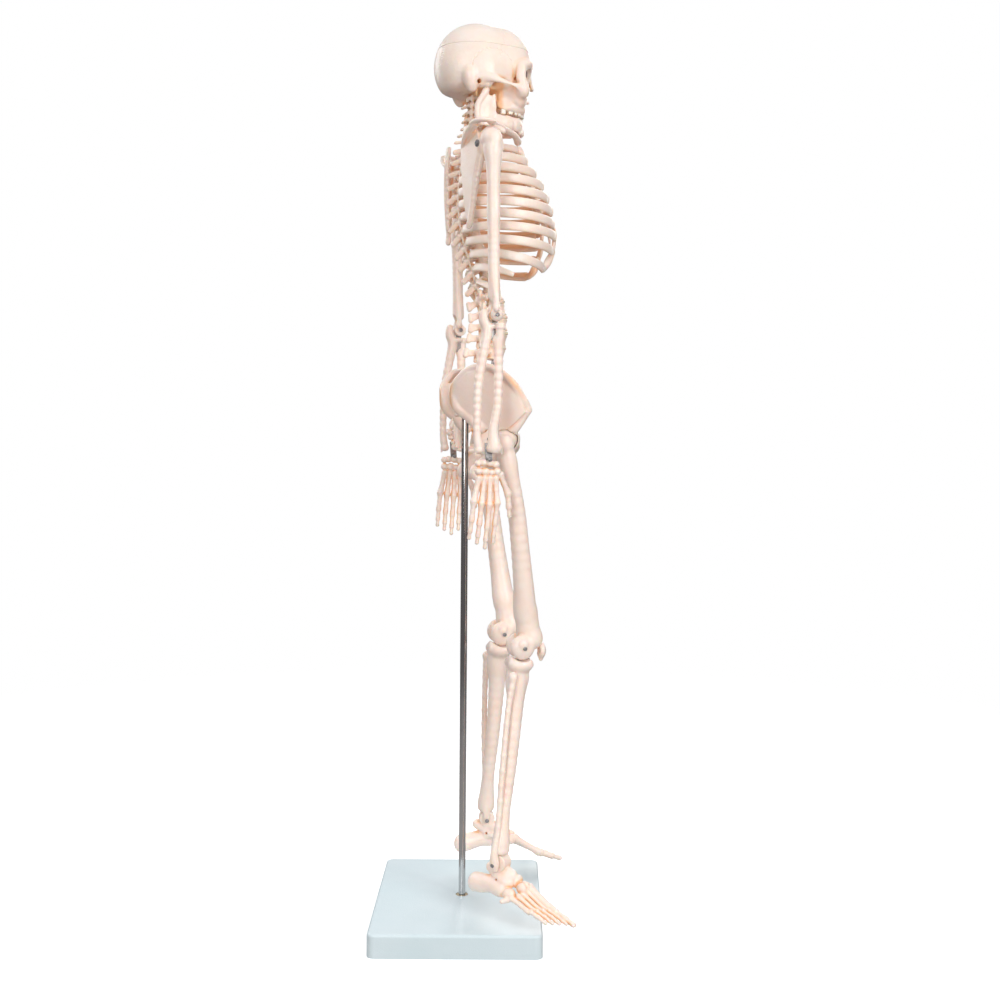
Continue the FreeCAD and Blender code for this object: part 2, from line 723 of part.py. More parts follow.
def make_calvarium():
    shell = cut(skull_egg(0), skull_egg(size("skull_wall")))
    return slice_between(shell, size("skull_cut"), size("skull_height") + size("skull_tall") + 5)


def make_mandible():
    """A horseshoe with a branch at each end that rises to the jaw joint."""
    chin, low = size("chin_forward"), size("chin_height")
    corner_forward, corner_height = 20, 753
    pieces = []
    for side in (RIGHT, LEFT):
        pivot = jaw_pivot(side)
        corner = at(side, 26, corner_forward, corner_height)
        bend = at(side, 15, 43, low + 5.5)
        front = at(side, 0, chin - 4.5, low + 5)
        pieces += [
            taper(pivot, corner, "Size.jaw_out * 0.1", "Size.jaw_out * 0.14"),
            taper(pivot + at(side, 0, 9, -6), corner + at(side, 0, 5, 2), "2.2", "4.2"),
            ball(corner, "Size.jaw_out * 0.14"),
            taper(corner, bend, "Size.jaw_out * 0.14", "Size.jaw_out * 0.17"),
            ball(bend, "Size.jaw_out * 0.17"),
            taper(bend, front, "Size.jaw_out * 0.17", "Size.jaw_out * 0.185"),
        ]
    pieces.append(ball(front, "Size.jaw_out * 0.185"))
    holes = [pin_across(jaw_pivot(side), 8, "Size.pin_radius * 0.8 + Size.running_gap") for side in (RIGHT, LEFT)]
    body = fuse(*pieces)
    ramus_keep = block(Vector(0, -40, 776), "40", "60", "24")
    return cut(body, ramus_keep, *holes)


def make_skull():
    sub_part("cranium", make_cranium())
    sub_part("calvarium", make_calvarium())
    sub_part("mandible", make_mandible())
    screws = [pin_across(jaw_pivot(side), 4.6, "Size.pin_radius * 0.8") for side in (RIGHT, LEFT)]
    sub_part("jaw_screws", group(*screws))


# ---------------------------------------------------------------- arms

def elbow(side):
    return at(side, size("shoulder_out"), size("elbow_forward"), size("elbow_height"))


def wrist(side):
    return at(side, size("shoulder_out"), size("wrist_forward"), size("wrist_height"))


def make_shoulder_link(side):
    """A pin that turns in the shoulder blade, with a flat eye inside the arm bone's head and its cross pin."""
    centre = shoulder(side)
    pin = rod(centre - at(side, 21, 0, 0), centre - at(side, 3, 0, 0), "Size.pin_radius")
    along = Vector(0, 1.4, 0)
    eye = rod(centre - along, centre + along, "3.2")
    cross = rod(centre - along * 6, centre + along * 6, "Size.pin_radius * 0.9")
    return fuse(pin, eye, cross)


def make_humerus(side):
    centre, hinge = shoulder(side), elbow(side)
    middle = centre * 0.45 + hinge * 0.55
    above = hinge + at(side, 0, 0, 20)
    pieces = [
        ball(centre, "Size.humerus_head"),
        taper(centre - UP * 3, middle, "Size.humerus_radius * 1.45", "Size.humerus_radius"),
        taper(middle, above, "Size.humerus_radius", "Size.humerus_radius * 0.85"),
        taper(above, hinge + UP * 3, "Size.humerus_radius * 0.85", "Size.humerus_radius * 1.1"),
        pin_across(hinge, 10.5, "Size.elbow_radius"),
    ]
    across = Vector(0, 1, 0)
    cross = rod(centre - across * 8.45, centre + across * 8.45, "Size.pin_radius * 0.9 + Size.running_gap")
    eye_room = rod(centre - across * 1.8, centre + across * 1.8, "3.6")
    # The slot lets the shoulder pin stay level while the arm lifts sideways.
    slot_level = block(centre - at(side, 8, 0, 0), "16", "3.6", "3.4")
    slot_top = block(centre + UP * 8, "3.4", "3.6", "16")
    corner = centre + at(side, -8, 0, 8)
    slot_sweep = common(block(corner, "16", "3.6", "16"), ball(centre, "Size.humerus_head + 2"))
    elbow_slot = disc_across(hinge, "Size.elbow_radius + 4.5", "Size.strap_thick + 0.6")
    elbow_hole = pin_across(hinge, 12, "Size.pin_radius + Size.running_gap")
    return cut(fuse(*pieces), cross, eye_room, slot_level, slot_top, slot_sweep, elbow_slot, elbow_hole)


def strap(top, bottom, width, pivot, pin_half):
    """A steel strap in the side plane with a pin through its pivot end."""
    run = bottom - top
    turn = Rotation(UP, run)
    plate = block(top + run * 0.5, "Size.strap_thick", width, f"{run.Length}", turn)
    round_end = disc_across(pivot, f"{width} / 2", "Size.strap_thick")
    return fuse(plate, round_end, pin_across(pivot, pin_half, "Size.pin_radius"))


def strap_room(top, bottom, width):
    """The pocket that a strap's fixed end sits in."""
    run = bottom - top
    return block(top + run * 0.5, "Size.strap_thick + 0.1", f"{width} + 0.2", f"{run.Length}", Rotation(UP, run))


def make_forearm(side):
    hinge, pivot = elbow(side), wrist(side)
    ulna_top, ulna_middle, ulna_end = (hinge + at(side, 0, -4.5, -10), hinge + at(side, 0, -15.5, -60),
                                       pivot + at(side, 0, -9.5, 6.5))
    radius_top, radius_middle, radius_end = (hinge + at(side, 0, 4.6, -11), hinge + at(side, 0, 1.5, -60),
                                             pivot + at(side, 0, 5, 7.5))
    thin = "Size.forearm_radius"
    hook = hinge + at(side, 0, -9.2, 0)
    plate_foot = hinge + at(side, 0, -0.5, -22)
    pocket = strap_room(hinge, plate_foot + Vector(0, 0, -0.2), "5")
    wrist_head = pivot + at(side, 0, -1, 15)
    wrist_pocket = strap_room(wrist_head + Vector(0, 0, 0.2), pivot, "6")
    clear_elbow = disc_across(hinge, "Size.elbow_radius + 0.6", "30")
    clear_wrist = block(pivot + UP * -2, "24", "40", "9.6")
    ulna = cut(fuse(
        taper(ulna_top, ulna_middle, f"{thin} * 1.3", f"{thin}"),
        taper(ulna_middle, ulna_end, f"{thin}", f"{thin} * 0.9"),
        ball(ulna_end, f"{thin} * 1.05"),
        rod(hook, ulna_top, f"{thin} * 0.72"),
    ), clear_elbow, pocket, clear_wrist, wrist_pocket)
    radius_bone = cut(fuse(
        taper(radius_top, radius_middle, f"{thin} * 1.2", f"{thin} * 0.95"),
        taper(radius_middle, radius_end, f"{thin} * 0.95", f"{thin} * 1.5"),
    ), clear_elbow, pocket, clear_wrist, wrist_pocket)
    between = hinge + at(side, 0, 0.35, -14)
    split = block(between, "30", "0.3", "16")
    return cut(ulna, split), radius_bone, (hinge, plate_foot), (wrist_head, pivot)


def make_hand(side):
    """Wrist bones and five fingers in one piece, the palm towards the body and the thumb in front."""
    pivot = wrist(side)
    palm = block(pivot + at(side, 0, 0.5, -9), "8", "23", "16")
    pieces = [palm]
    for index in range(4):
        knuckle = pivot + at(side, 0.5, 10.5 - 8 * index, -40 + 1.5 * abs(index - 1))
        tip = pivot + at(side, -3.5, 12.5 - 9.5 * index, -80 + 4.5 * abs(index - 1))
        root = pivot + at(side, 0, 7.5 - 5 * index, -15)
        pieces.append(taper(root, knuckle, "Size.finger_radius * 1.05", "Size.finger_radius"))
        pieces.append(ball(knuckle, "Size.finger_radius * 1.02"))
        pieces.append(taper(knuckle, tip, "Size.finger_radius", "Size.finger_radius * 0.6"))
    thumb_root, thumb_joint = pivot + at(side, -1, 10, -12), pivot + at(side, -5, 18.5, -31)
    thumb_tip = pivot + at(side, -8, 21, -52)
    pieces.append(taper(thumb_root, thumb_joint, "Size.finger_radius * 1.3", "Size.finger_radius * 1.05"))
    pieces.append(ball(thumb_joint, "Size.finger_radius * 1.08"))
    pieces.append(taper(thumb_joint, thumb_tip, "Size.finger_radius * 1.05", "Size.finger_radius * 0.7"))
    crown = pin_across(pivot, 4, "7")
    slot = disc_across(pivot, "11", "Size.strap_thick + 0.6")
    hole = pin_across(pivot, 9, "Size.pin_radius + Size.running_gap")
    return cut(fuse(crown, *pieces), slot, hole)


def make_arm(letter, side):
    sub_part("shoulder_link_" + letter, make_shoulder_link(side))
    sub_part("humerus_" + letter, make_humerus(side))
    ulna, radius_bone, elbow_ends, wrist_ends = make_forearm(side)
    sub_part("ulna_" + letter, ulna)
    sub_part("radius_" + letter, radius_bone)
    sub_part("elbow_link_" + letter, strap(*elbow_ends, "5", elbow(side), 11))
    sub_part("wrist_link_" + letter, strap(*wrist_ends, "6", wrist(side), 5))
    sub_part("hand_" + letter, make_hand(side))


# ---------------------------------------------------------------- legs

def knee(side):
    return at(side, size("knee_out"), size("knee_forward"), size("knee_height"))


def ankle(side):
    which = "ankle_forward_right" if side == RIGHT else "ankle_forward_left"
    return at(side, size("ankle_out"), size(which), size("ankle_height"))


def foot_turn(side):
    """How the foot hangs: turned out by its toe angle and dropped at the toes."""
    name = "right" if side == RIGHT else "left"
    return Rotation(UP, side * size("toe_out_" + name)), Rotation(ACROSS, size("foot_drop_" + name))


def make_femur(side):
    hip, hinge = hip_centre(side), knee(side)
    trochanter = hip + at(side, 18, -4, -7)
    upper, middle = hip + at(side, 15.5, -1, -22), hip + at(side, 10, 13, -100)
    lower = hinge + at(side, 1, 0, 24)
    thick = "Size.femur_radius"
    pieces = [
        ball(hip, "Size.femur_head"),
        taper(hip, trochanter, f"{thick} * 0.85", f"{thick} * 1.05"),
        ball(trochanter, f"{thick} * 1.18"),
        taper(trochanter, upper, f"{thick} * 1.08", f"{thick} * 1.0"),
        taper(upper, middle, f"{thick} * 0.98", f"{thick} * 0.88"),
        ball(upper, f"{thick} * 1.07"),
        ball(middle, f"{thick} * 0.96"),
        ball(lower, f"{thick} * 1.27"),
        taper(middle, lower, f"{thick} * 0.88", f"{thick} * 1.2"),
        taper(lower, hinge, f"{thick} * 1.2", f"{thick} * 1.45"),
        disc_across(hinge, "Size.condyle_radius", "Size.knee_width"),
    ]
    slot = disc_across(hinge, "Size.condyle_radius + 6", "Size.strap_thick + 5.4")
    hole = pin_across(hinge, 18, "Size.pin_radius + Size.running_gap")
    screw = rod(hip - at(side, 12, 0, 0), hip + at(side, 8, 0, 0), "Size.pin_radius + Size.running_gap")
    return cut(fuse(*pieces), slot, hole, screw)


def make_shank(side):
    hinge, end = knee(side), ankle(side)
    turn, _ = foot_turn(side)
    across = turn.multVec(ACROSS) * side
    plateau = hinge + at(side, 0, -3, -14.5)
    thick, thin = "Size.tibia_radius", "Size.fibula_radius"
    upper = plateau + (end - plateau) * 0.2
    lower = plateau + (end - plateau) * 0.84
    inner_ankle = end - across * 8.6
    outer_ankle = end + across * 9.2
    room_knee = disc_across(hinge, "Size.condyle_radius + 0.7", "60")
    room_talus = rod(end - across * 6, end + across * 6.4, "Size.talus_radius + 0.8")
    pin_hole = rod(inner_ankle - across * 1.5, outer_ankle + across * 1.2, "Size.pin_radius")
    fibula_head = hinge + at(side, 15.5, -11, -27)
    fibula = fuse(
        ball(fibula_head, f"{thin} * 1.5"),
        taper(fibula_head, outer_ankle + UP * 12, f"{thin} * 0.98", f"{thin} * 1.05"),
        ball(outer_ankle + UP * 12, f"{thin} * 1.16"),
        taper(outer_ankle + UP * 12, outer_ankle - UP * 4, f"{thin} * 1.05", f"{thin} * 0.9"),
    )
    rise = hinge - UP * 30
    pocket = strap_room(hinge, rise, "7")
    tibia = fuse(
        disc_stack(plateau),
        taper(plateau - UP * 4, upper, f"{thick} * 1.75", f"{thick} * 1.15"),
        taper(upper, lower, f"{thick} * 1.14", f"{thick} * 0.85"),
        taper(lower, end + UP * 9, f"{thick} * 0.85", f"{thick} * 1.2"),
        taper(end + UP * 12 - across * 5.5, inner_ankle - UP * 2, f"{thick} * 0.6", f"{thick} * 0.38"),
    )
    keep_fibula = fuse(
        ball(fibula_head, f"{thin} * 1.5 + 0.3"),
        rod(fibula_head, outer_ankle + UP * 12, f"{thin} * 1.16 + 0.3"),
        rod(outer_ankle + UP * 12.5, outer_ankle - UP * 4, f"{thin} * 1.16 + 0.32"),
    )
    tibia = cut(tibia, room_knee, room_talus, pocket, pin_hole, keep_fibula)
    other_room = rod(end - across * 6, end + across * 6.2, "Size.talus_radius + 0.8")
    other_hole = rod(end, outer_ankle + across * 1.2, "Size.pin_radius")
    fibula = cut(fibula, other_room, other_hole)
    screw = rod(inner_ankle - across * 1.2, outer_ankle + across * 1.0, "Size.pin_radius")
    return tibia, fibula, screw, rise


def disc_stack(plateau):
    """The tibia's flat top, two short rounds side by side under the knee."""
    rounds = []
    for offset in (-7.5, 7.5):
        centre = plateau + ACROSS * offset
        rounds.append(rod(centre - UP * 8, centre + UP * 6, "Size.condyle_radius * 0.73"))
    return fuse(*rounds)


def make_patella(side):
    hinge = knee(side)
    back = hinge + at(side, 1, 15.4, -5)
    return taper(back, back + at(side, 0, 6, 0), "8", "5.5")


def make_foot(side):
    """Heel, arch and toes in one piece, in the foot's own frame: its origin is the ankle's axis."""
    floor = -36
    heel = at(side, 0, -19, floor + 8)
    mid = at(side, 1, 22, floor + 19)
    pieces = [
        rod(at(side, -5.2, 0, 0), at(side, 5.2, 0, 0), "Size.talus_radius"),
        taper(at(side, 0, 0, -2), at(side, 0, -2, -20), "5", "6.5"),
        taper(heel, at(side, 0, 3, -17), "7.6", "7"),
        ball(heel, "7.6"),
        taper(at(side, 0, 1, -12), mid, "7", "7.6"),
    ]
    for index in range(5):
        spread = 12 - 6 * index
        root = mid + at(side, -0.55 * spread, -1, -2 - 1.6 * index + 2)
        head = at(side, -1.0 * spread, 55 - 3.2 * index, floor + 7.5)
        tip = at(side, -1.05 * spread - 1, 78 - 4.5 * index, floor + 2.6)
        pieces.append(taper(root, head, "3.4", "2.6" if index else "3.6"))
        pieces.append(taper(head, tip, "2.5" if index else "3.5", "1.7" if index else "2.6"))
        pieces.append(ball(head, "2.62" if index else "3.62"))
    hole = rod(at(side, -9, 0, 0), at(side, 9, 0, 0), "Size.pin_radius + Size.running_gap")
    foot = cut(fuse(*pieces), hole)
    turn, drop = foot_turn(side)
    foot.Placement = Placement(ankle(side), turn.multiply(drop))
    return foot


def make_leg(letter, side):
    hip = hip_centre(side)
    screw = rod(hip - at(side, 17.5, 0, 0), hip + at(side, 6, 0, 0), "Size.pin_radius")
    sub_part("hip_screw_" + letter, screw)
    sub_part("femur_" + letter, make_femur(side))
    sub_part("patella_" + letter, make_patella(side))
    tibia, fibula, ankle_screw, rise = make_shank(side)
    sub_part("tibia_" + letter, tibia)
    sub_part("fibula_" + letter, fibula)
    sub_part("knee_strap_" + letter, strap(knee(side), rise, "7", knee(side), 15.5))
    sub_part("ankle_screw_" + letter, ankle_screw)
    sub_part("foot_" + letter, make_foot(side))


# ---------------------------------------------------------------- build, check and write

make_stand()
make_spine()
make_girdle()
make_rib_cage()
make_skull()
for side_letter, side_sign in SIDES.items():
    make_arm(side_letter, side_sign)
    make_leg(side_letter, side_sign)
doc.recompute()

for item in doc.Objects:
    if "Invalid" in item.State or "Error" in item.State:
        raise RuntimeError(f"{item.Name} ({item.Label}) failed to build")
for item in sub_parts:
    if item.Shape.isNull() or not item.Shape.isValid():
        raise RuntimeError(f"{item.Label} has no valid shape")
    item.Shape.exportStep(f"parts/{item.Label}.step")
    print(item.Label, len(item.Shape.Solids), round(item.Shape.Volume))
print(len(sub_parts), "sub-parts")
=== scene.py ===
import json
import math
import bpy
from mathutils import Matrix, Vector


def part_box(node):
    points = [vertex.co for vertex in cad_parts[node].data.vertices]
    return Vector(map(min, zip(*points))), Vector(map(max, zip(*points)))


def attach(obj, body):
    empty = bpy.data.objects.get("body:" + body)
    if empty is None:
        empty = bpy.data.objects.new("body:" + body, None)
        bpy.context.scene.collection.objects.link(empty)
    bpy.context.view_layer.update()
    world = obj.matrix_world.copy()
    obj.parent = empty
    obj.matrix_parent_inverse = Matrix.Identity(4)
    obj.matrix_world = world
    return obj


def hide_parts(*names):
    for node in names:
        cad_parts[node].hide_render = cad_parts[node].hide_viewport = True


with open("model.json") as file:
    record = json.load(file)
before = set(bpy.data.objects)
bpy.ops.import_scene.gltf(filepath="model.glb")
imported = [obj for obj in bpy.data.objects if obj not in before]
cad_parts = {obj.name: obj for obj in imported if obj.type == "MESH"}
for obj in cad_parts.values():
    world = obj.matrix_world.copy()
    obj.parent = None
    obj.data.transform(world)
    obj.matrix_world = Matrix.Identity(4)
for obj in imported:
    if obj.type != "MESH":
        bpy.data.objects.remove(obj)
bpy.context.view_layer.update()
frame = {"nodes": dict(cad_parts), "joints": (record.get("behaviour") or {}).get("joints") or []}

# Half-size human skeleton on a pole. Bones are modelled in millimetres in the body's own directions,
# (out from the middle plane, forward, height), so that one shape serves both sides of the body.
from concurrent.futures import ThreadPoolExecutor

import bpy
import numpy as np
import openvdb
from mathutils import Matrix, Vector

MM = 0.001
RIGHT, LEFT = -1, 1
SIDES = {"r": RIGHT, "l": LEFT}

# ---------------------------------------------------------------- camera

VIEW_AZIMUTH = math.radians(257)
CAMERA_DISTANCE, CAMERA_HEIGHT, CAMERA_ASIDE = 1.2, 0.458, 0.039
CAMERA_LENS, CAMERA_ROLL = 45.3, math.radians(0.4)
CAMERA_SHIFT = (-0.006, -0.064)


def make_camera():
    look = Vector((-math.sin(VIEW_AZIMUTH), math.cos(VIEW_AZIMUTH), 0))
    aside = Vector((look.y, -look.x, 0))
    camera = bpy.data.objects.new("Camera", bpy.data.cameras.new("Camera"))
    camera.data.lens = CAMERA_LENS
    camera.data.shift_x, camera.data.shift_y = CAMERA_SHIFT
    place = aside * CAMERA_ASIDE - look * CAMERA_DISTANCE + Vector((0, 0, CAMERA_HEIGHT))
    turn = look.to_track_quat("-Z", "Y").to_matrix().to_4x4() @ Matrix.Rotation(CAMERA_ROLL, 4, "Z")
    camera.matrix_world = Matrix.Translation(place) @ turn
    bpy.context.scene.collection.objects.link(camera)
    bpy.context.scene.camera = camera


make_camera()

# ---------------------------------------------------------------- places, read from the frame

JOINTS = {joint["name"]: joint for joint in frame["joints"]}


def spot(out, forward, height):
    return np.array((out, forward, height), float)


def joint_spot(name):
    """A joint's place as (out, forward, height) in millimetres."""
    x, y, z = JOINTS[name]["pos_m"]
    return spot(abs(x), -y, z) * 1000


def node_span(node):
    """The lowest and highest (x, forward, height) of a CAD node, in millimetres."""
    low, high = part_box(node)
    return spot(low.x, -high.y, low.z) * 1000, spot(high.x, -low.y, high.z) * 1000


def loose_parts(node):
    """The middle of each separate solid of a CAD node, from the lowest up, in millimetres."""
    mesh = frame["nodes"][node].data
    count = len(mesh.vertices)
    points = np.zeros(count * 3, np.float32)
    mesh.vertices.foreach_get("co", points)
    points = points.reshape(-1, 3).astype(float) * 1000
    ends = np.zeros(len(mesh.edges) * 2, np.int32)
    mesh.edges.foreach_get("vertices", ends)
    ends = ends.reshape(-1, 2)
    _, same = np.unique(points.round(3), axis=0, return_inverse=True)
    same = same.ravel()
    label = np.arange(same.max() + 1)
    first, second = same[ends[:, 0]], same[ends[:, 1]]
    while True:
        lower = np.minimum(label[first], label[second])
        before = label.copy()
        np.minimum.at(label, first, lower)
        np.minimum.at(label, second, lower)
        label = label[label]
        if (label == before).all():
            break
    groups = label[same]
    middles = []
    for group in np.unique(groups):
        corners = points[groups == group]
        middle = (corners.min(0) + corners.max(0)) / 2
        middles.append(spot(middle[0], -middle[1], middle[2]))
    return sorted(middles, key=lambda middle: middle[2])


HIP = joint_spot("hip_swing_r")
KNEE = joint_spot("knee_bend_r")
ANKLES = {letter: joint_spot("ankle_lift_" + letter) for letter in SIDES}
SHOULDER = joint_spot("shoulder_swing_r")
ELBOW = joint_spot("elbow_bend_r")
WRIST = joint_spot("wrist_bend_r")
JAW = joint_spot("jaw_open")

# ---------------------------------------------------------------- clay: shapes kept as distances on a grid

FINE = 0.55
REACH = 8.0


def smooth_min(first, second, blend):
    near = np.maximum(blend - np.abs(first - second), 0) / blend
    return np.minimum(first, second) - near * near * (blend / 4)


class Clay:
    """Distances from a shape's surface, negative inside, on a grid in (out, forward, height)."""

    def __init__(self, low, high, both_sides=False, step=FINE):
        self.step = step
        self.both_sides = both_sides
        low = np.floor(np.array(low, float) / step) * step
        if both_sides:
            low[0] = 0
        self.low = low
        self.count = np.ceil((np.array(high, float) - low) / step).astype(int) + 1
        self.far = np.full(self.count, REACH, np.float32)

    def axes(self, first, last):
        """Coordinates of the grid's lines between two indices, ready to broadcast."""
        lines = [(self.low[i] + self.step * np.arange(first[i], last[i])).astype(np.float32) for i in range(3)]
        return lines[0][:, None, None], lines[1][None, :, None], lines[2][None, None, :]

    def window(self, low, high):
        first = np.floor((low - REACH - self.low) / self.step).astype(int).clip(0, self.count)
        last = np.ceil((high + REACH - self.low) / self.step).astype(int).clip(0, self.count)
        return tuple(slice(a, b) for a, b in zip(first, last)), self.axes(first, last)

    def add(self, part, blend=1.5):
        distance, low, high = part
        place, axes = self.window(low, high)
        self.far[place] = smooth_min(self.far[place], distance(*axes), blend)

    def cut(self, part, blend=0.8):
        distance, low, high = part
        place, axes = self.window(low, high)
        self.far[place] = -smooth_min(-self.far[place], distance(*axes), blend)

    def keep(self, field, blend=0.8):
        """Keeps only what is inside another field on the same grid."""
        self.far = -smooth_min(-self.far, -field, blend)

    def all_axes(self):
        return self.axes((0, 0, 0), self.count)


def flattened(vector, thin, share):
    """Stretches a vector along the thin direction, so that a round shape there comes out flat."""
    return vector + (1 / share - 1) * np.dot(vector, thin) * thin


def bar(start, end, radius, end_radius=None, thin=None, share=1.0):
    """A bar with round ends. Along the direction thin its width is only a share of the rest."""
    end_radius = radius if end_radius is None else end_radius
    run = end - start
    if thin is not None:
        thin = np.array(thin, float) / np.linalg.norm(thin)
        run = flattened(run, thin, share)
    a, b, c = run.tolist()
    length = max(a * a + b * b + c * c, 1e-6)
    x0, y0, z0 = np.array(start, float).tolist()

    def distance(x, y, z):
        dx, dy, dz = x - x0, y - y0, z - z0
        if thin is not None:
            nx, ny, nz = thin.tolist()
            more = (1 / share - 1) * (dx * nx + dy * ny + dz * nz)
            dx, dy, dz = dx + more * nx, dy + more * ny, dz + more * nz
        t = np.clip((dx * a + dy * b + dz * c) / length, 0, 1)
        gap = np.sqrt((dx - t * a) ** 2 + (dy - t * b) ** 2 + (dz - t * c) ** 2)
        return gap - (radius + (end_radius - radius) * t)

    most = max(radius, end_radius)
    return distance, np.minimum(start, end) - most, np.maximum(start, end) + most


def turned(degrees, axis):
    """A rotation as three rows: the local directions of out, forward and height."""
    return np.array(Matrix.Rotation(math.radians(degrees), 3, axis)).T


def egg(centre, radii, turn=None):
    """An ellipsoid; turn gives its own axes as rows."""
    rows = np.eye(3) if turn is None else turn
    x0, y0, z0 = np.array(centre, float).tolist()
    inverse = [1 / float(radius) for radius in radii]

    def distance(x, y, z):
        dx, dy, dz = x - x0, y - y0, z - z0
        whole, slope = 0, 0
        for (a, b, c), scale in zip(rows.tolist(), inverse):
            along = (dx * a + dy * b + dz * c) * scale
            whole = whole + along * along
            slope = slope + (along * scale) ** 2
        size = np.sqrt(whole)
        return size * (size - 1) / (np.sqrt(slope) + 1e-6)

    most = max(radii)
    return distance, np.array(centre) - most, np.array(centre) + most


def block(centre, halves, soft=1.0, turn=None):
    """A box with rounded edges, given by its half sizes."""
    rows = np.eye(3) if turn is None else turn
    x0, y0, z0 = np.array(centre, float).tolist()
    soft = min(soft, 0.95 * min(halves))

    def distance(x, y, z):
        dx, dy, dz = x - x0, y - y0, z - z0
        outside, inside = 0, None
        for (a, b, c), half in zip(rows.tolist(), halves):
            over = np.abs(dx * a + dy * b + dz * c) - (half - soft)
            outside = outside + np.maximum(over, 0) ** 2
            inside = over if inside is None else np.maximum(inside, over)
        return np.sqrt(outside) + np.minimum(inside, 0) - soft

    most = float(np.linalg.norm(halves))
    return distance, np.array(centre) - most, np.array(centre) + most


def drum(centre, radii, height, axis=(0, 0, 1), waist=0.0, soft=0.8, front=(0, 1, 0)):
    """A short round body of elliptic section, drawn in by a share at its waist."""
    up = np.array(axis, float) / np.linalg.norm(axis)
    ahead = np.array(front, float) - np.dot(front, up) * up
    ahead = ahead / np.linalg.norm(ahead)
    aside = np.cross(ahead, up)
    (ux, uy, uz), (ax, ay, az), (sx, sy, sz) = up.tolist(), ahead.tolist(), aside.tolist()
    x0, y0, z0 = np.array(centre, float).tolist()
    wide, deep = radii

    def distance(x, y, z):
        dx, dy, dz = x - x0, y - y0, z - z0
        rise = dx * ux + dy * uy + dz * uz
        across = (dx * sx + dy * sy + dz * sz) / wide
        forth = (dx * ax + dy * ay + dz * az) / deep
        narrow = 1 - waist * (1 - np.clip(2 * rise / height, -1, 1) ** 2)
        ring = (np.sqrt(across * across + forth * forth) - narrow) * min(radii) + soft
        cap = np.abs(rise) - height / 2 + soft
        outer = np.sqrt(np.maximum(ring, 0) ** 2 + np.maximum(cap, 0) ** 2)
        return outer + np.minimum(np.maximum(ring, cap), 0) - soft

    most = math.hypot(max(radii), height / 2)
    return distance, np.array(centre) - most, np.array(centre) + most


def plate(outline, thick, bow=0.0, soft=None):
    """A plate through the points of its outline, its middle raised by bow along its normal."""
    corners = np.array(outline, float)
    centre = corners.mean(0)
    _, _, rows = np.linalg.svd(corners - centre)
    aside, along, normal = rows
    if normal[np.argmax(np.abs(normal))] < 0:
        normal = -normal
    flat = np.stack([(corners - centre) @ aside, (corners - centre) @ along], 1).tolist()
    spread = float(np.abs(flat).max())
    soft = thick * 0.42 if soft is None else soft
    (ax, ay, az), (bx, by, bz), (nx, ny, nz) = aside.tolist(), along.tolist(), normal.tolist()
    x0, y0, z0 = centre.tolist()

    def distance(x, y, z):
        dx, dy, dz = x - x0, y - y0, z - z0
        u = dx * ax + dy * ay + dz * az
        v = dx * bx + dy * by + dz * bz
        w = dx * nx + dy * ny + dz * nz - bow * (1 - np.clip((u * u + v * v) / spread ** 2, 0, 1))
        nearest, inside = None, None
        for (u1, v1), (u2, v2) in zip(flat, flat[1:] + flat[:1]):
            eu, ev = u2 - u1, v2 - v1
            t = np.clip(((u - u1) * eu + (v - v1) * ev) / (eu * eu + ev * ev), 0, 1)
            gap = (u - u1 - t * eu) ** 2 + (v - v1 - t * ev) ** 2
            crossing = ((v1 <= v) != (v2 <= v)) & ((u - u1 < eu * (v - v1) / (ev if ev else 1e-9)))
            nearest = gap if nearest is None else np.minimum(nearest, gap)
            inside = crossing if inside is None else inside ^ crossing
        edge = np.where(inside, -np.sqrt(nearest), np.sqrt(nearest)) + soft
        face = np.abs(w) - thick / 2 + soft
        outer = np.sqrt(np.maximum(edge, 0) ** 2 + np.maximum(face, 0) ** 2)
        return outer + np.minimum(np.maximum(edge, face), 0) - soft

    margin = thick + abs(bow)
    return distance, corners.min(0) - margin, corners.max(0) + margin


def curve_through(points, steps=6):
    """Points of a smooth curve through the given ones, the radius in the last place."""
    knots = np.array(points, float)
    padded = np.vstack([2 * knots[0] - knots[1], knots, 2 * knots[-1] - knots[-2]])
    found = []
    for a, b, c, d in zip(padded, padded[1:], padded[2:], padded[3:]):
        for share in np.arange(steps) / steps:
            found.append(0.5 * (2 * b + (c - a) * share + (2 * a - 5 * b + 4 * c - d) * share ** 2
                                + (3 * b - a - 3 * c + d) * share ** 3))
    return np.array(found + [knots[-1]])


def shaft(clay, points, blend=1.5, steps=4, thin=None, share=1.0):
    """A bent bone through points (out, forward, height, radius)."""
    line = curve_through(points, steps)
    for start, end in zip(line, line[1:]):
        clay.add(bar(start[:3], end[:3], start[3], end[3], thin, share), blend)


def groove(clay, points, radius, blend=0.6, steps=4):
    line = curve_through(points, steps)
    for start, end in zip(line, line[1:]):
        clay.cut(bar(start[:3], end[:3], radius), blend)


# ---------------------------------------------------------------- pieces

def sampled(field, places):
    """The field's value at fractional grid places."""
    top = np.array(field.shape) - 2
    base = np.clip(np.floor(places).astype(int), 0, top)
    part = np.clip(places - base, 0, 1)
    total = 0
    for corner in np.ndindex(2, 2, 2):
        weight = np.prod(np.where(corner, part, 1 - part), axis=1)
        at = base + corner
        total = total + weight * field[at[:, 0], at[:, 1], at[:, 2]]
    return total


def finish_piece(obj, body, material, nodes):
    obj.data.materials.clear()
    obj.data.materials.append(material)
    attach(obj, body)
    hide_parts(*nodes)
    return obj


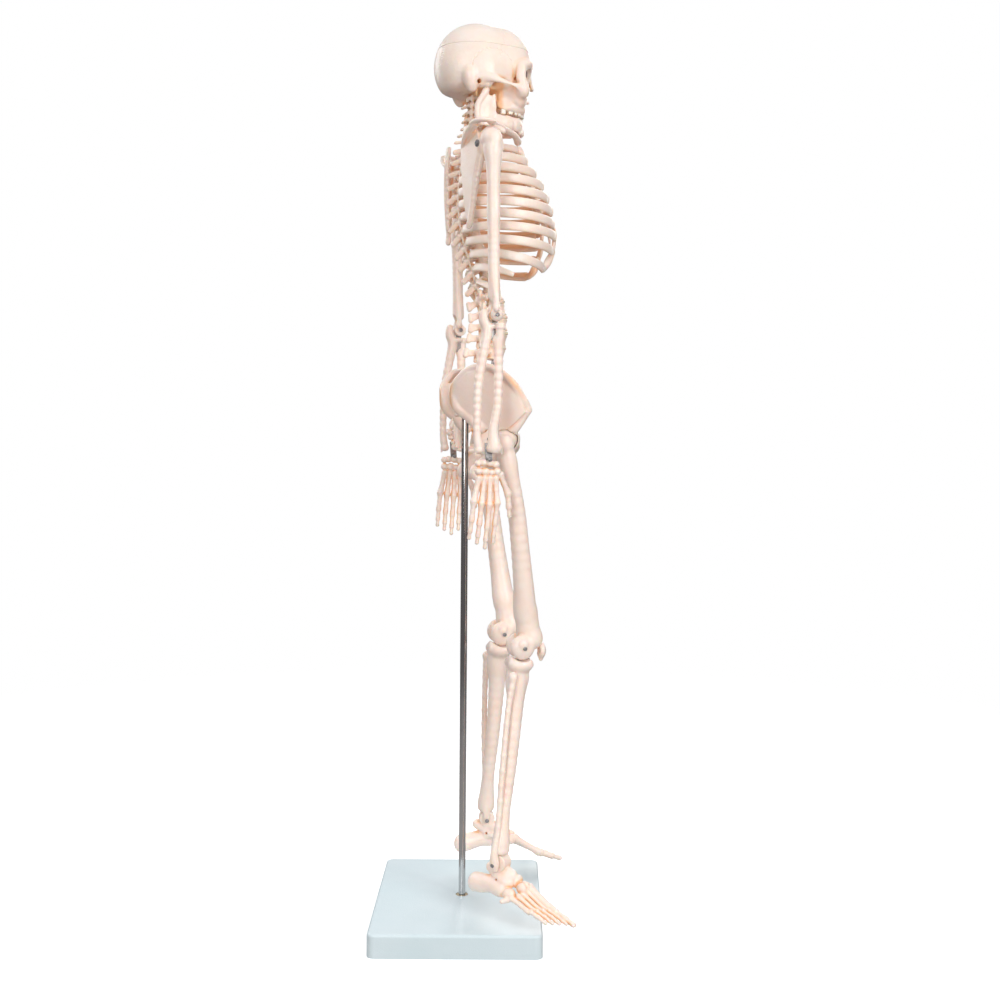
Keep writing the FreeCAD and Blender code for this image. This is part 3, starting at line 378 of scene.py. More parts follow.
def mesh_object(name, points, faces, smooth=True):
    mesh = bpy.data.meshes.new(name)
    mesh.from_pydata([], [], [])
    mesh.vertices.add(len(points))
    mesh.vertices.foreach_set("co", np.asarray(points, np.float32).ravel())
    sides = len(faces[0])
    faces = np.asarray(faces, np.int32)
    mesh.loops.add(faces.size)
    mesh.loops.foreach_set("vertex_index", faces.ravel())
    mesh.polygons.add(len(faces))
    mesh.polygons.foreach_set("loop_start", np.arange(0, faces.size, sides, dtype=np.int32))
    mesh.polygons.foreach_set("use_smooth", np.full(len(faces), smooth))
    mesh.update(calc_edges=True)
    mesh.validate()
    obj = bpy.data.objects.new(name, mesh)
    bpy.context.scene.collection.objects.link(obj)
    return obj


PAINTED_SHADE_REACH = 4.0


def cast(name, clay, side=LEFT, shade_painter=None):
    """Turns clay into a mesh. Its attribute hollow says how sunk each point is between its neighbours; the bone
    materials paint warm shade into the colour by it.
    """
    field, low = clay.far, clay.low.copy()
    if clay.both_sides:
        field = np.concatenate([field[:0:-1], field])
        low[0] = -(clay.count[0] - 1) * clay.step
    grid = openvdb.FloatGrid(REACH)
    grid.copyFromArray(np.ascontiguousarray(field))
    places, quads = grid.convertToQuads(isovalue=0.0)
    points = low + places * clay.step
    flip = side == LEFT
    if flip:
        quads = quads[:, ::-1]
    turned_points = points * np.array((side, -1, 1)) * MM
    obj = mesh_object(name, turned_points, quads)
    normals = np.zeros(len(points) * 3, np.float32)
    obj.data.vertices.foreach_get("normal", normals)
    normals = normals.reshape(-1, 3) * np.array((side, -1, 1))
    # painted shade: how closely the shape's own surface closes in along the normal sets the warm shade painted into
    # sunk places
    away = sampled(field, places + normals * (PAINTED_SHADE_REACH / clay.step))
    hollow = np.clip(1 - away / PAINTED_SHADE_REACH, 0, 1)
    # extra painted shade for some pieces, under the cheekbone's bridge and inside the jaw
    if shade_painter is not None:
        hollow = shade_painter(points, normals, hollow)
    attribute = obj.data.attributes.new("hollow", "FLOAT", "POINT")
    attribute.data.foreach_set("value", hollow.astype(np.float32))
    return obj


# ---------------------------------------------------------------- skull

SKULL_TOP = node_span("calvarium")[1][2]
SKULL_BACK = node_span("cranium")[0][1]
SKULL_CUT = node_span("calvarium")[0][2]
SKULL_WALL, SKULL_FLOOR, SKULL_BASE = 3.0, 792.3, 782.5
NECK_FORWARD = joint_spot("neck_turn")[1]
FACE_FRONT = 61.5


def skull_grid():
    return Clay((0, SKULL_BACK - 6, 755), (42, FACE_FRONT + 10, SKULL_TOP + 4), both_sides=True)


def skull_vault():
    """The smooth outside of the brain case."""
    vault = skull_grid()
    back = SKULL_BACK + 39
    vault.add(egg(spot(0, back, SKULL_TOP - 38), (35.5, 39, 38)), 1)
    vault.add(egg(spot(0, FACE_FRONT - 31.5, SKULL_TOP - 37.5), (29.5, 31.5, 35)), 6)
    vault.add(egg(spot(0, back - 15, SKULL_TOP - 46), (30, 24, 28)), 6)
    vault.add(egg(spot(18, back + 2, SKULL_TOP - 52), (18, 24, 20)), 5)
    return vault


def sutures(clay, vault):
    """Fine zigzag seams between the plates of the brain case, scored into its outside."""
    x, y, z = clay.all_axes()
    wiggle = 0.8 * np.sin(x * 1.5) + 0.6 * np.sin(x * 3.7 + 1) + 0.5 * np.sin(z * 1.9)
    coronal = np.abs(y - 30 - 0.28 * (z - 835) + wiggle)
    side_wave = 0.7 * np.sin(y * 1.3) + 0.5 * np.sin(y * 3.1 + 2)
    sagittal = np.maximum(np.abs(x + side_wave * 0.5), np.maximum(y - 30, -18 - y))
    lambdoid = np.abs(y + 18 + 0.55 * (838 - z) * 0.4 + 0.3 * x + 0.7 * np.sin(x * 2.2) + 0.4 * np.sin(z * 2.6))
    lambdoid = np.maximum(lambdoid, 806 - z)
    squamous = np.abs(np.sqrt((y - 18) ** 2 + (z - 798) ** 2) - 21 + 0.5 * np.sin(y * 1.7))
    squamous = np.maximum(np.maximum(squamous, 18 - x), 796 - z)
    coronal = np.maximum(coronal, 812 - z)
    seam = np.minimum(np.minimum(coronal, sagittal), np.minimum(lambdoid, squamous))
    depth = np.maximum(np.abs(vault.far) - 0.5, seam - 0.32)
    clay.far = -smooth_min(-clay.far, depth, 0.3)


def face_bones(clay):
    """Brows, nose, cheeks, upper jaw and the bones under the skull."""
    shaft(clay, [(0, 58, 809.5, 2.6), (9, 57.6, 810.5, 2.8), (19, 54, 810.5, 3.0), (27, 45.5, 805.5, 3.2)], 4)
    shaft(clay, [(27.5, 46.5, 805, 3.4), (28.4, 45.5, 796, 3.2), (26.5, 48, 787, 3.8)], 3)
    clay.add(egg(spot(24.5, 48.5, 783.5), (6.8, 6.4, 7)), 3.5)
    shaft(clay, [(26, 49, 783.5, 3.0), (31.5, 40, 785.5, 2.3), (34.5, 28, 789, 2.0), (34, 14, 792, 2.6),
                 (31.5, 5, 793, 3.4)], 3, thin=(1, 0.1, 0), share=0.62)
    shaft(clay, [(21, 52, 786.5, 3.0), (13, 54.5, 787.5, 2.6), (7.5, 55.5, 789, 2.2)], 2.5)
    clay.add(egg(spot(11, 46, 780), (12.5, 10, 12)), 3)
    clay.add(egg(spot(13, 36, 779), (8, 10, 10)), 3)
    shaft(clay, [(5.2, 58, 807, 2.6), (6.2, 56.5, 796, 2.1), (8.5, 54, 785, 2.4)], 2)
    shaft(clay, [(1.4, 58.5, 806, 2.4), (1.6, 60.5, 799, 1.7), (1.2, 63.5, 790, 1.3)], 1.5)
    shaft(clay, [(0, 55.5, 780, 1.8), (0, 59.5, 779, 1.2)], 1.5)
    shaft(clay, [(0, 51.0, 769.4, 4.2), (7, 49.6, 769.4, 4.2), (12.4, 44, 769.8, 4.1), (15.0, 35.4, 770.4, 4.0),
                 (15.4, 28, 771.6, 3.6)], 2.5)
    shaft(clay, [(11, 27, 785, 2.4), (11, 25.5, 777, 1.8), (11.5, 24.5, 771, 1.3)], 2)
    shaft(clay, [(29, -3, 796, 6.0), (28.8, -2.4, 788, 4.6), (28, -1.2, 782, 2.8)], 4)
    shaft(clay, [(22, 3, 784, 2.0), (21.5, 4.5, 777, 0.8)], 1)
    clay.add(egg(spot(7.5, NECK_FORWARD - 1, 781.5), (3.4, 5.5, 2.8), turned(20, "Z")), 2)
    shaft(clay, [(0, SKULL_BACK + 5.5, 799, 2.6), (12, SKULL_BACK + 8.5, 797.5, 2.4), (24, -10, 795, 2.4)], 3)
    clay.add(egg(spot(0, SKULL_BACK + 4, 799), (3, 2.6, 2.4)), 2)
    clay.add(block(spot(0, 25, 781), (9, 12, 3.4), 2), 3)


def face_hollows(clay):
    """Eye sockets, the opening of the nose, the temples and the hollow behind the cheekbones."""
    clay.cut(egg(spot(39.5, 36, 800), (7, 14, 13)), 5)
    clay.cut(egg(spot(28.5, 30, 784.5), (5.6, 13, 8)), 2)
    clay.cut(egg(spot(24, 31, 776), (8, 9, 9)), 3)
    clay.cut(egg(spot(16.4, 57, 798.2), (9.3, 9, 7.6), turned(-12, "Y")), 1.5)
    clay.cut(bar(spot(16, 54, 798), spot(9.5, 30, 799), 7.4, 2.2), 1.5)
    clay.cut(bar(spot(24, 44, 795), spot(17, 34, 797), 1.6, 1.2), 1)
    clay.cut(bar(spot(2.8, 64, 790), spot(2.6, 38, 788), 1.7, 1.4, (0, 0, 1), 0.5), 1)
    clay.cut(egg(spot(3.5, 56, 784), (3.2, 14, 5.2)), 1.2)
    clay.cut(egg(spot(0, 62.5, 785.5), (5, 4.2, 5)), 1)
    clay.cut(egg(spot(0, 38, 766.5), (10.5, 15, 6)), 2)
    clay.cut(bar(spot(40, 4.5, 787.5), spot(26, 4.5, 788), 1.9, 1.6), 1)
    clay.cut(egg(JAW - spot(-1, 0, 1), (6.5, 5.5, 5.2)), 1.2)
    clay.cut(bar(spot(15, 56.5, 785), spot(15, 51, 786), 0.9), 0.5)
    clay.cut(egg(spot(0, NECK_FORWARD - 8, 781), (6.5, 5, 4)), 1.5)


def make_cranium():
    vault = skull_vault()
    clay = skull_grid()
    clay.far = vault.far.copy()
    clay.cut(block(spot(0, 10, SKULL_BASE - 30), (80, 90, 30), 1), 6)
    face_bones(clay)
    face_hollows(clay)
    sutures(clay, vault)
    x, y, z = clay.all_axes()
    rise = np.clip((y - 20) / 14, 0, 1)
    floor = SKULL_FLOOR + 7.5 * rise * rise * (3 - 2 * rise)
    ridge = np.exp(-((y + 2 - 0.45 * (x - 8)) / 3.2) ** 2) * np.clip((x - 5) / 10, 0, 1) * 4.5
    hollow = np.maximum(vault.far + SKULL_WALL, floor + ridge - z)
    clay.far = -smooth_min(-clay.far, hollow, 1.0)
    clay.far = -smooth_min(-clay.far, SKULL_CUT - z, 0.1)
    return clay


def skull_painted_shade(points, normals, hollow):
    """Painted warm shade in the deep space under the cheekbone's bridge, and no painted recess shade at the cap's fine
    seam.
    """
    out, forward, height = np.abs(points[:, 0]), points[:, 1], points[:, 2]
    # painted shade in the space under the cheekbone's bridge
    deep = np.clip((792 - height) / 3, 0, 1) * np.clip((29 - out) / 3, 0, 1)
    deep *= np.clip(forward / 3, 0, 1) * np.clip((33 - forward) / 4, 0, 1)
    return np.maximum(hollow * np.clip(np.abs(height - SKULL_CUT) / 1.5, 0, 1), deep * 0.9)


def jaw_painted_shade(points, normals, hollow):
    """Painted warm shade on the inner sides of the jaw's two upright plates."""
    inward = np.clip(-normals[:, 0] * np.sign(points[:, 0]), 0, 1)
    return np.maximum(hollow, inward * np.clip((np.abs(points[:, 0]) - 18) / 4, 0, 1) * 0.85)


def make_calvarium():
    vault = skull_vault()
    clay = skull_grid()
    clay.far = vault.far.copy()
    sutures(clay, vault)
    _, _, z = clay.all_axes()
    clay.far = -smooth_min(-clay.far, vault.far + SKULL_WALL, 0.5)
    clay.far = -smooth_min(-clay.far, z - SKULL_CUT, 0.1)
    return clay


def dental_arch(share, front, half_width, back):
    """A point (out, forward) of the row of teeth, share 0 in the middle and 1 at the last tooth."""
    angle = share * math.pi * 0.47
    return half_width * math.sin(angle) ** 0.9, back + (front - back) * math.cos(angle)


TOOTH_WIDTHS = (3.9, 3.3, 3.6, 3.4, 3.4, 4.8, 4.6)


def make_teeth(upper):
    """One row of teeth: two incisors, a canine, two premolars and two molars on each side."""
    front, half_width, back = (53.6, 15.6, 25) if upper else (52.4, 14.8, 25.4)
    root, crown = (770.5, 762.7) if upper else (755.0, 760.8)
    clay = Clay((0, 20, 750), (22, 60, 775), both_sides=True, step=FINE * 0.8)
    row = sum(TOOTH_WIDTHS)
    passed = 0
    for number, width in enumerate(TOOTH_WIDTHS):
        out, forward = dental_arch((passed + width / 2) / row, front, half_width, back)
        next_out, next_forward = dental_arch((passed + width / 2 + 1) / row, front, half_width, back)
        passed += width
        heading = math.degrees(math.atan2(next_forward - forward, next_out - out))
        depth = 1.5 if number < 3 else 2.6
        lift = 0.8 * math.sin(number * 2.4) * 0.4 + (0.5 if number == 2 else 0)
        tip = crown - lift if upper else crown + lift
        middle = spot(out, forward, (root + tip) / 2)
        clay.add(block(middle, (width * 0.49, depth, abs(root - tip) / 2), 0.7, turned(heading, "Z")), 0.25)
        if number >= 3:
            clay.cut(egg(spot(out, forward, tip), (0.8, 1.1, 0.7)), 0.4)
    return clay


def make_mandible():
    clay = Clay((0, -3, 738), (34, 60, 792), both_sides=True)
    out, forward, height = JAW
    outline = [spot(26.8, forward - 3.5, 782), spot(26.8, forward + 1.5, 783), spot(26.4, forward + 2.4, 777.5),
               spot(26.3, forward + 5, 776), spot(26.3, forward + 8, 777.5), spot(25.8, forward + 8.2, 767),
               spot(25, forward + 11, 757), spot(25, forward + 6, 748), spot(25.5, forward - 5, 749),
               spot(26, forward - 9, 755), spot(26.4, forward - 9.5, 769), spot(26.6, forward - 6, 774)]
    clay.add(plate(outline, 3.2), 1)
    shaft(clay, [(25.6, forward - 5, 751, 2.4), (26, forward - 8.4, 757, 2.1), (26.5, forward - 8.2, 768, 2.0),
                 (26.8, forward - 3.6, 776, 2.1), (27, forward, 782, 2.3)], 2)
    clay.add(bar(spot(24, forward, height - 0.3), spot(30, forward, height - 0.3), 2.5), 1.5)
    clay.add(bar(spot(26.4, forward + 7, 776.5), spot(25.8, forward + 7.5, 766), 1.6, 2.0), 2)
    for start, end in (((25, forward + 8, 754.5), (20.5, 35, 753.5)), ((20.5, 35, 754), (14, 45, 753.8)),
                       ((14, 45, 753.8), (6.5, 50, 753.3)), ((6.5, 50, 753.3), (0, 51.2, 753))):
        start, end = spot(*start), spot(*end)
        normal = np.cross(end - start, (0, 0, 1))
        clay.add(bar(start, end, 6.3, 6.4, normal, 0.44), 1.6)
    clay.add(egg(spot(0, 52, 748.4), (5.5, 3.6, 3.6)), 3)
    clay.add(egg(spot(8, 50, 747.3), (3.5, 2.8, 2.2)), 2.5)
    groove(clay, [(25.6, forward + 13, 762.5), (20, 36, 763), (14, 44.5, 762.6), (6, 49, 762), (0, 50, 762)], 2.2, 1)
    clay.cut(bar(spot(16, 52, 753.5), spot(12, 44, 753), 0.8), 0.5)
    clay.cut(egg(spot(29.5, forward + 2, 762), (2.6, 5, 8)), 3)
    return clay


# ---------------------------------------------------------------- spine

DISC_MIDDLES = loose_parts("spinal_discs")
LUMBAR, THORACIC, CERVICAL = 5, 12, 7


def vertebra_places():
    """(region, number, middle, up direction, height of body, body radius) from the lowest up."""
    discs = [spot(0, middle[1], middle[2]) for middle in DISC_MIDDLES]
    below = discs[0] * 2 - discs[1]
    above = [discs[-1] + (discs[-1] - discs[-2]), discs[-1] + 2 * (discs[-1] - discs[-2])]
    ends = [below] + discs + above
    found = []
    regions = [("lumbar", LUMBAR - i) for i in range(LUMBAR)] + [("thoracic", THORACIC - i) for i in range(THORACIC)]
    regions += [("cervical", CERVICAL - i) for i in range(CERVICAL)]
    for (region, number), low, high in zip(regions, ends, ends[1:]):
        found.append((region, number, (low + high) / 2, high - low))
    return found


VERTEBRAE = vertebra_places()
BODY_RADIUS = {"lumbar": 9.5, "thoracic": 7.2, "cervical": 5.4}
BODY_SHARE = 0.76


def vertebra_body_radius(region, number):
    """Bodies shrink a little from the lowest vertebra of a region to the highest."""
    grow = {"lumbar": 0.02 * (number - 3), "thoracic": 0.022 * (number - 7), "cervical": 0.03 * (number - 4)}
    return BODY_RADIUS[region] * (1 + grow[region])


def add_lumbar_arch(clay, r, h, number):
    shaft(clay, [(0.55 * r, -0.7 * r, 0.14 * h, 0.3 * r), (0.62 * r, -1.35 * r, 0.08 * h, 0.32 * r),
                 (0.3 * r, -1.75 * r, -0.1 * h, 0.24 * r), (0, -1.9 * r, -0.14 * h, 0.24 * r)], 1.5)
    clay.add(bar(spot(0.75 * r, -1.2 * r, 0.05 * h), spot(1.3 * r, -1.35 * r, 0.1 * h), 0.24 * r, 0.2 * r), 1.5)
    reach = 2.05 + 0.12 * (1 - abs(number - 3))
    clay.add(bar(spot(1.3 * r, -1.35 * r, 0.1 * h), spot(reach * r, -1.5 * r, 0.16 * h), 0.21 * r, 0.19 * r,
                 (0, 1, 0), 0.6), 1)
    clay.add(bar(spot(0.8 * r, -1.5 * r, 0.1 * h), spot(0.82 * r, -1.42 * r, 0.72 * h), 0.26 * r, 0.24 * r), 1)
    clay.add(bar(spot(0.55 * r, -1.7 * r, -0.2 * h), spot(0.6 * r, -1.72 * r, -0.8 * h), 0.24 * r, 0.2 * r), 1)
    spine = [spot(0, -1.7 * r, 0.12 * h), spot(0, -2.75 * r, 0.05 * h), spot(0, -2.95 * r, -0.3 * h),
             spot(0, -2.8 * r, -0.62 * h), spot(0, -1.8 * r, -0.4 * h)]
    clay.add(plate(spine, 0.34 * r), 1.5)
    clay.add(bar(spot(0, -2.85 * r, 0), spot(0, -2.88 * r, -0.5 * h), 0.22 * r, 0.26 * r), 1.2)


def add_thoracic_arch(clay, r, h, number):
    middle = 1 - abs(number - 6.5) / 6
    drop = 0.45 + 0.45 * middle
    shaft(clay, [(0.5 * r, -0.7 * r, 0.2 * h, 0.28 * r), (0.6 * r, -1.3 * r, 0.16 * h, 0.3 * r),
                 (0.3 * r, -1.65 * r, 0, 0.24 * r), (0, -1.85 * r, -0.05 * h, 0.26 * r)], 1.2)
    clay.add(bar(spot(0.7 * r, -1.3 * r, 0.12 * h), spot(1.9 * r, -1.75 * r, 0.3 * h), 0.3 * r, 0.24 * r), 1.2)
    clay.add(egg(spot(1.95 * r, -1.76 * r, 0.3 * h), (0.3 * r, 0.3 * r, 0.36 * r)), 1)
    clay.add(bar(spot(0.62 * r, -1.45 * r, 0.1 * h), spot(0.62 * r, -1.42 * r, 0.72 * h), 0.24 * r, 0.2 * r,
                 (0, 1, 0), 0.6), 0.8)
    clay.add(bar(spot(0.5 * r, -1.7 * r, -0.1 * h), spot(0.5 * r, -1.72 * r, -0.7 * h), 0.24 * r, 0.2 * r,
                 (0, 1, 0), 0.6), 0.8)
    shaft(clay, [(0, -1.75 * r, 0, 0.3 * r), (0, -2.4 * r, -drop * 0.45 * r, 0.32 * r),
                 (0, -3.0 * r, -drop * r, 0.28 * r)], 1.2, thin=(1, 0, 0), share=0.62)
    clay.add(egg(spot(0, -3.0 * r, -drop * r), (0.24 * r, 0.28 * r, 0.34 * r)), 0.8)


def add_cervical_arch(clay, r, h, number):
    reach = {7: 3.3, 6: 2.9, 2: 2.9, 1: 2.1}.get(number, 2.55)
    wide = {1: 2.5, 7: 2.2}.get(number, 1.95)
    shaft(clay, [(0.7 * r, -0.7 * r, 0.1 * h, 0.27 * r), (1.0 * r, -1.2 * r, 0.1 * h, 0.34 * r),
                 (0.6 * r, -1.75 * r, 0, 0.24 * r), (0, -2.1 * r, -0.05 * h, 0.25 * r)], 1)
    clay.add(bar(spot(1.0 * r, -1.2 * r, 0.35 * h), spot(1.0 * r, -1.3 * r, -0.35 * h), 0.4 * r, 0.4 * r), 1)
    shaft(clay, [(0.8 * r, -0.1 * r, -0.05 * h, 0.2 * r), (1.4 * r, -0.1 * r, -0.1 * h, 0.2 * r),
                 (wide * r, -0.45 * r, -0.16 * h, 0.22 * r)], 0.8)
    shaft(clay, [(1.0 * r, -1.0 * r, 0, 0.2 * r), (1.5 * r, -0.85 * r, -0.05 * h, 0.2 * r),
                 (wide * r, -0.55 * r, -0.12 * h, 0.24 * r)], 0.8)
    shaft(clay, [(0, -2.0 * r, 0, 0.28 * r), (0, -reach * 0.85 * r, -0.25 * h, 0.24 * r),
                 (0, -reach * r, -0.4 * h, 0.24 * r)], 1, thin=(0, 0, 1), share=0.8)
    if 2 <= number <= 6:
        clay.add(egg(spot(0.32 * r, -reach * r, -0.42 * h), (0.24 * r, 0.3 * r, 0.2 * r)), 0.6)


ARCHES = {"lumbar": add_lumbar_arch, "thoracic": add_thoracic_arch, "cervical": add_cervical_arch}


def make_vertebra(region, number, step):
    """A vertebra in its own frame, its body's middle at the origin."""
    r = vertebra_body_radius(region, number)
    h = BODY_SHARE * step
    clay = Clay((0, -3.8 * r, -2.2 * r - h), (2.9 * r, 1.4 * r, 1.3 * h), both_sides=True)
    if region == "cervical" and number == 1:
        shaft(clay, [(0, 0.75 * r, 0, 0.34 * r), (0.8 * r, 0.4 * r, 0, 0.32 * r), (1.2 * r, -0.6 * r, 0, 0.45 * r)], 1)
    else:
        wide = {"lumbar": 1.14, "thoracic": 1.0, "cervical": 1.12}[region]
        clay.add(drum(spot(0, 0, 0), (wide * r, 0.95 * r), h, waist=0.13, soft=0.7), 1)
    if region == "cervical" and number == 2:
        clay.add(bar(spot(0, 0, 0), spot(0, 0.1 * r, h * 1.05), 0.5 * r, 0.42 * r), 1)
    ARCHES[region](clay, r, h, number)
    clay.cut(egg(spot(0, -1.22 * r, 0), (0.5 * r, 0.42 * r, 3 * h)), 0.6)
    return clay


def make_sacrum():
    """Five joined vertebrae that curve to the back, with the socket for the pole in front."""
    low, high = node_span("sacrum")
    top = spot(0, 21, 521)
    lean = math.radians(32)
    down = spot(0, -math.sin(lean), -math.cos(lean))
    rear = spot(0, -math.cos(lean), math.sin(lean))

    def place(along, back, out=0.0):
        return top + down * along + rear * back + spot(out, 0, 0)

    clay = Clay((0, low[1] - 4, low[2] - 3), (30, high[1] + 3, high[2] + 2), both_sides=True)
    rows = np.array([spot(1, 0, 0), -rear, -down])
    for number in range(5):
        along = 7 + 13 * number
        curve = 3.5 * math.sin(math.pi * along / 66) - 3
        half_width = 24 - 3.7 * number
        thick = 9.5 - 1.6 * number
        clay.add(egg(place(along, curve + 1), (half_width, thick, 8.6), rows), 3)
        clay.add(drum(place(along, curve - 2 + 0.5 * number), (11.5 - 1.6 * number, thick * 0.9), 12.4,
                      axis=-down, waist=0.1, front=-rear), 2)
        clay.add(egg(place(along + 1, curve + thick * 0.9 + 1.5), (1.9, 3.0 - 0.3 * number, 4.4), rows), 2)
        clay.add(egg(place(along, curve + thick * 0.75, 0.5 * half_width), (1.8, 1.8, 4), rows), 1.5)
    clay.add(egg(place(7, -1, 18), (9, 10, 12), rows), 3)
    clay.add(bar(place(2, 8.5, 8.5), place(-3, 9, 9), 2.6, 2.2), 1.5)
    clay.add(drum(place(1.5, -2), (11.5, 9), 8, axis=-down, front=-rear), 1.5)
    for number in range(4):
        along = 13.5 + 12.5 * number
        out = 9.5 - 1.15 * number
        hole = 1.9 - 0.2 * number
        clay.cut(bar(place(along, -16, out), place(along, -1, out - 0.6), hole * 1.35, hole), 0.8)
        clay.cut(bar(place(along, 16, out + 0.8), place(along, 2, out), hole * 0.8), 0.6)
    clay.cut(bar(place(-4, 8.5), place(8, 9), 3.2, 2.4), 1)
    pole_top = node_span("pole")[1][2]
    clay.add(bar(spot(0, 0, pole_top - 34), spot(0, 0, pole_top - 4), 7.3), 1.5)
    clay.cut(block(spot(0, 0, pole_top - 54), (12, 12, 12.2), 0.3), 0.6)
    clay.cut(bar(spot(0, 0, pole_top - 60), spot(0, 0, pole_top - 4), 3.6), 0.5)
    return clay


def make_coccyx():
    low, high = node_span("coccyx")
    clay = Clay((0, low[1] - 2, low[2] - 2), (8, high[1] + 2, high[2] + 2), both_sides=True)
    start, end = spot(0, low[1] + 3.6, high[2] - 2.2), spot(0, high[1] - 1.8, low[2] + 1.8)
    for number in range(4):
        share = number / 3
        middle = start + (end - start) * share - spot(0, 1.2 * math.sin(math.pi * share), 0)
        size = 1 - 0.52 * share
        clay.add(egg(middle, (5.2 * size, 3.3 * size, 3.2 * size)), 0.8)
    clay.add(bar(start + spot(3.6, -1, 0.5), start + spot(4.2, -1.5, 3), 1.2, 0.9), 0.8)
    return clay


# ---------------------------------------------------------------- pelvis

def make_hip_bone():
    low, high = node_span("hip_bone_r")
    clay = Clay((2, low[1] - 5, low[2] - 4), (70, high[1] + 5, high[2] + 5))
    crest = [(60.5, 47.5, 482, 2.6), (64.5, 40, 494, 2.6), (66, 30, 507, 3.0), (63, 18, 517, 2.6),
             (54, 6, 521.5, 2.4), (43, -5, 519, 2.5), (33, -14, 509, 3.0), (26, -17.5, 497, 3.4)]
    outline = [spot(60, 46.5, 481), spot(64, 38, 496), spot(65, 28, 508), spot(61, 16, 517), spot(52, 5, 520),
               spot(42, -6, 517), spot(33, -14, 507), spot(27, -17, 496), spot(27, -13, 486), spot(31, -4, 478),
               spot(36, 4, 468), spot(46, 14, 462), spot(50, 28, 463), spot(54, 36.5, 470)]
    clay.add(plate(outline, 3.4, bow=4.2, soft=1.2), 2)
    shaft(clay, crest, 2.5)
    shaft(clay, [(60.5, 46.5, 482, 3.0), (56.5, 41.5, 472, 2.5), (52.5, 36.5, 465, 3.2), (48, 32, 459, 4)], 2.5)
    shaft(clay, [(26.5, -15.5, 494, 4.2), (28, -12, 484, 4.4), (32, -2, 476, 4.8), (37, 8, 466, 6)], 3)
    clay.add(egg(HIP - spot(4.5, 0, 0), (13.5, 15.2, 15.2)), 4)
    clay.add(bar(spot(37, 24, 445), spot(30.5, 9, 428), 8.2, 6.4), 3.5)
    clay.add(egg(spot(30, 5, 424.5), (6.4, 6.6, 8), turned(-18, "X")), 3)
    clay.add(bar(spot(35, 14, 444), spot(27, -0.5, 444), 4.4, 1.4), 2.5)
    shaft(clay, [(36, 35, 453, 5.2), (28, 40.5, 451, 3.9), (16, 45, 448.5, 3.8), (7.2, 44.5, 445, 4.2)], 3)
    clay.add(egg(spot(6.6, 43.5, 440), (3.6, 4.6, 8)), 2)
    shaft(clay, [(7.5, 42.5, 434, 3.6), (15, 32, 426.5, 3.2), (22, 20, 421.5, 3.4), (27.5, 9, 420, 4.2)], 2.5)
    clay.add(bar(spot(14, 47, 450), spot(12, 47.5, 451), 2.0, 1.4), 1.5)
    clay.add(egg(spot(28, -7, 497), (4.4, 12, 13), turned(-35, "X")), 3)
    clay.cut(egg(HIP, (11.9, 11.9, 11.9)), 0.8)
    clay.cut(egg(HIP + spot(19, 3, -4), (14, 13, 13.5)), 1.5)
    clay.cut(egg(HIP + spot(2, 3, -14), (7, 3.4, 6)), 1)
    clay.cut(egg(spot(33, 18, 500), (7, 15, 12), turned(18, "X")), 3)
    return clay


def make_pubic_disc():
    low, high = node_span("pubic_disc")
    middle = (low + high) / 2
    clay = Clay((0, low[1] - 4, low[2] - 6), (5, high[1] + 4, high[2] + 6), both_sides=True)
    clay.add(egg(spot(0, middle[1] + 0.4, middle[2]), (3.1, 4.6, 7.8)), 1)
    clay.cut(egg(spot(0, middle[1] + 6.6, middle[2]), (1.2, 2.6, 7)), 1)
    return clay


# ---------------------------------------------------------------- rib cage

RIB_COUNT, TRUE_RIBS = 12, 7
RIB_TALL, RIB_THICK = 8.4, 2.9
RIB_OUT_FIRST, RIB_OUT_MOST = 27.0, 65.0
THORACIC_PLACES = {number: middle for region, number, middle, _ in VERTEBRAE if region == "thoracic"}


def rib_reach(number):
    if number <= 8:
        return RIB_OUT_FIRST + (RIB_OUT_MOST - RIB_OUT_FIRST) * (1 - ((8 - number) / 7) ** 2)
    return RIB_OUT_MOST - 1.1 * (number - 8) ** 2


def rib_front(number):
    if number <= TRUE_RIBS:
        return 47 + 31 * math.sin(math.pi / 2 * (number - 1) / 6), 730 - 12 * (number - 1)
    if number <= 10:
        return 80 - 2.8 * (number - 8) ** 2, 730 - 12 * (number - 1) - 1.6 * (number - 8) ** 2
    return (34, 606) if number == 11 else (20, 590)


def rib_sweep(number):
    return math.radians({1: 150, 11: 92, 12: 74}.get(number, 152 - 0.6 * abs(number - 5)))


def rib_oval(number):
    """The oval's back point, its tilt, its half breadth and its half depth."""
    middle = THORACIC_PLACES[number]
    back_forward = middle[1] - 2.35 * BODY_RADIUS["thoracic"]
    back_height = middle[2] + 1.5
    front_forward, front_height = rib_front(number)
    run = math.hypot(front_forward - back_forward, front_height - back_height)
    tilt = math.atan2(back_height - front_height, front_forward - back_forward)
    return back_forward, back_height, tilt, rib_reach(number), run / (1 - math.cos(rib_sweep(number)))


def rib_point(number, angle, inset=0.0):
    back_forward, back_height, tilt, reach, half_depth = rib_oval(number)
    along = half_depth - (half_depth - inset) * math.cos(angle)
    return spot((reach - inset) * math.sin(angle), back_forward + along * math.cos(tilt),
                back_height - along * math.sin(tilt))


# Painted shade on the inner and lower sides of the swept ribs and cartilages.
INSIDE_PAINTED_SHADE, UNDERSIDE_PAINTED_SHADE = 0.95, 0.6


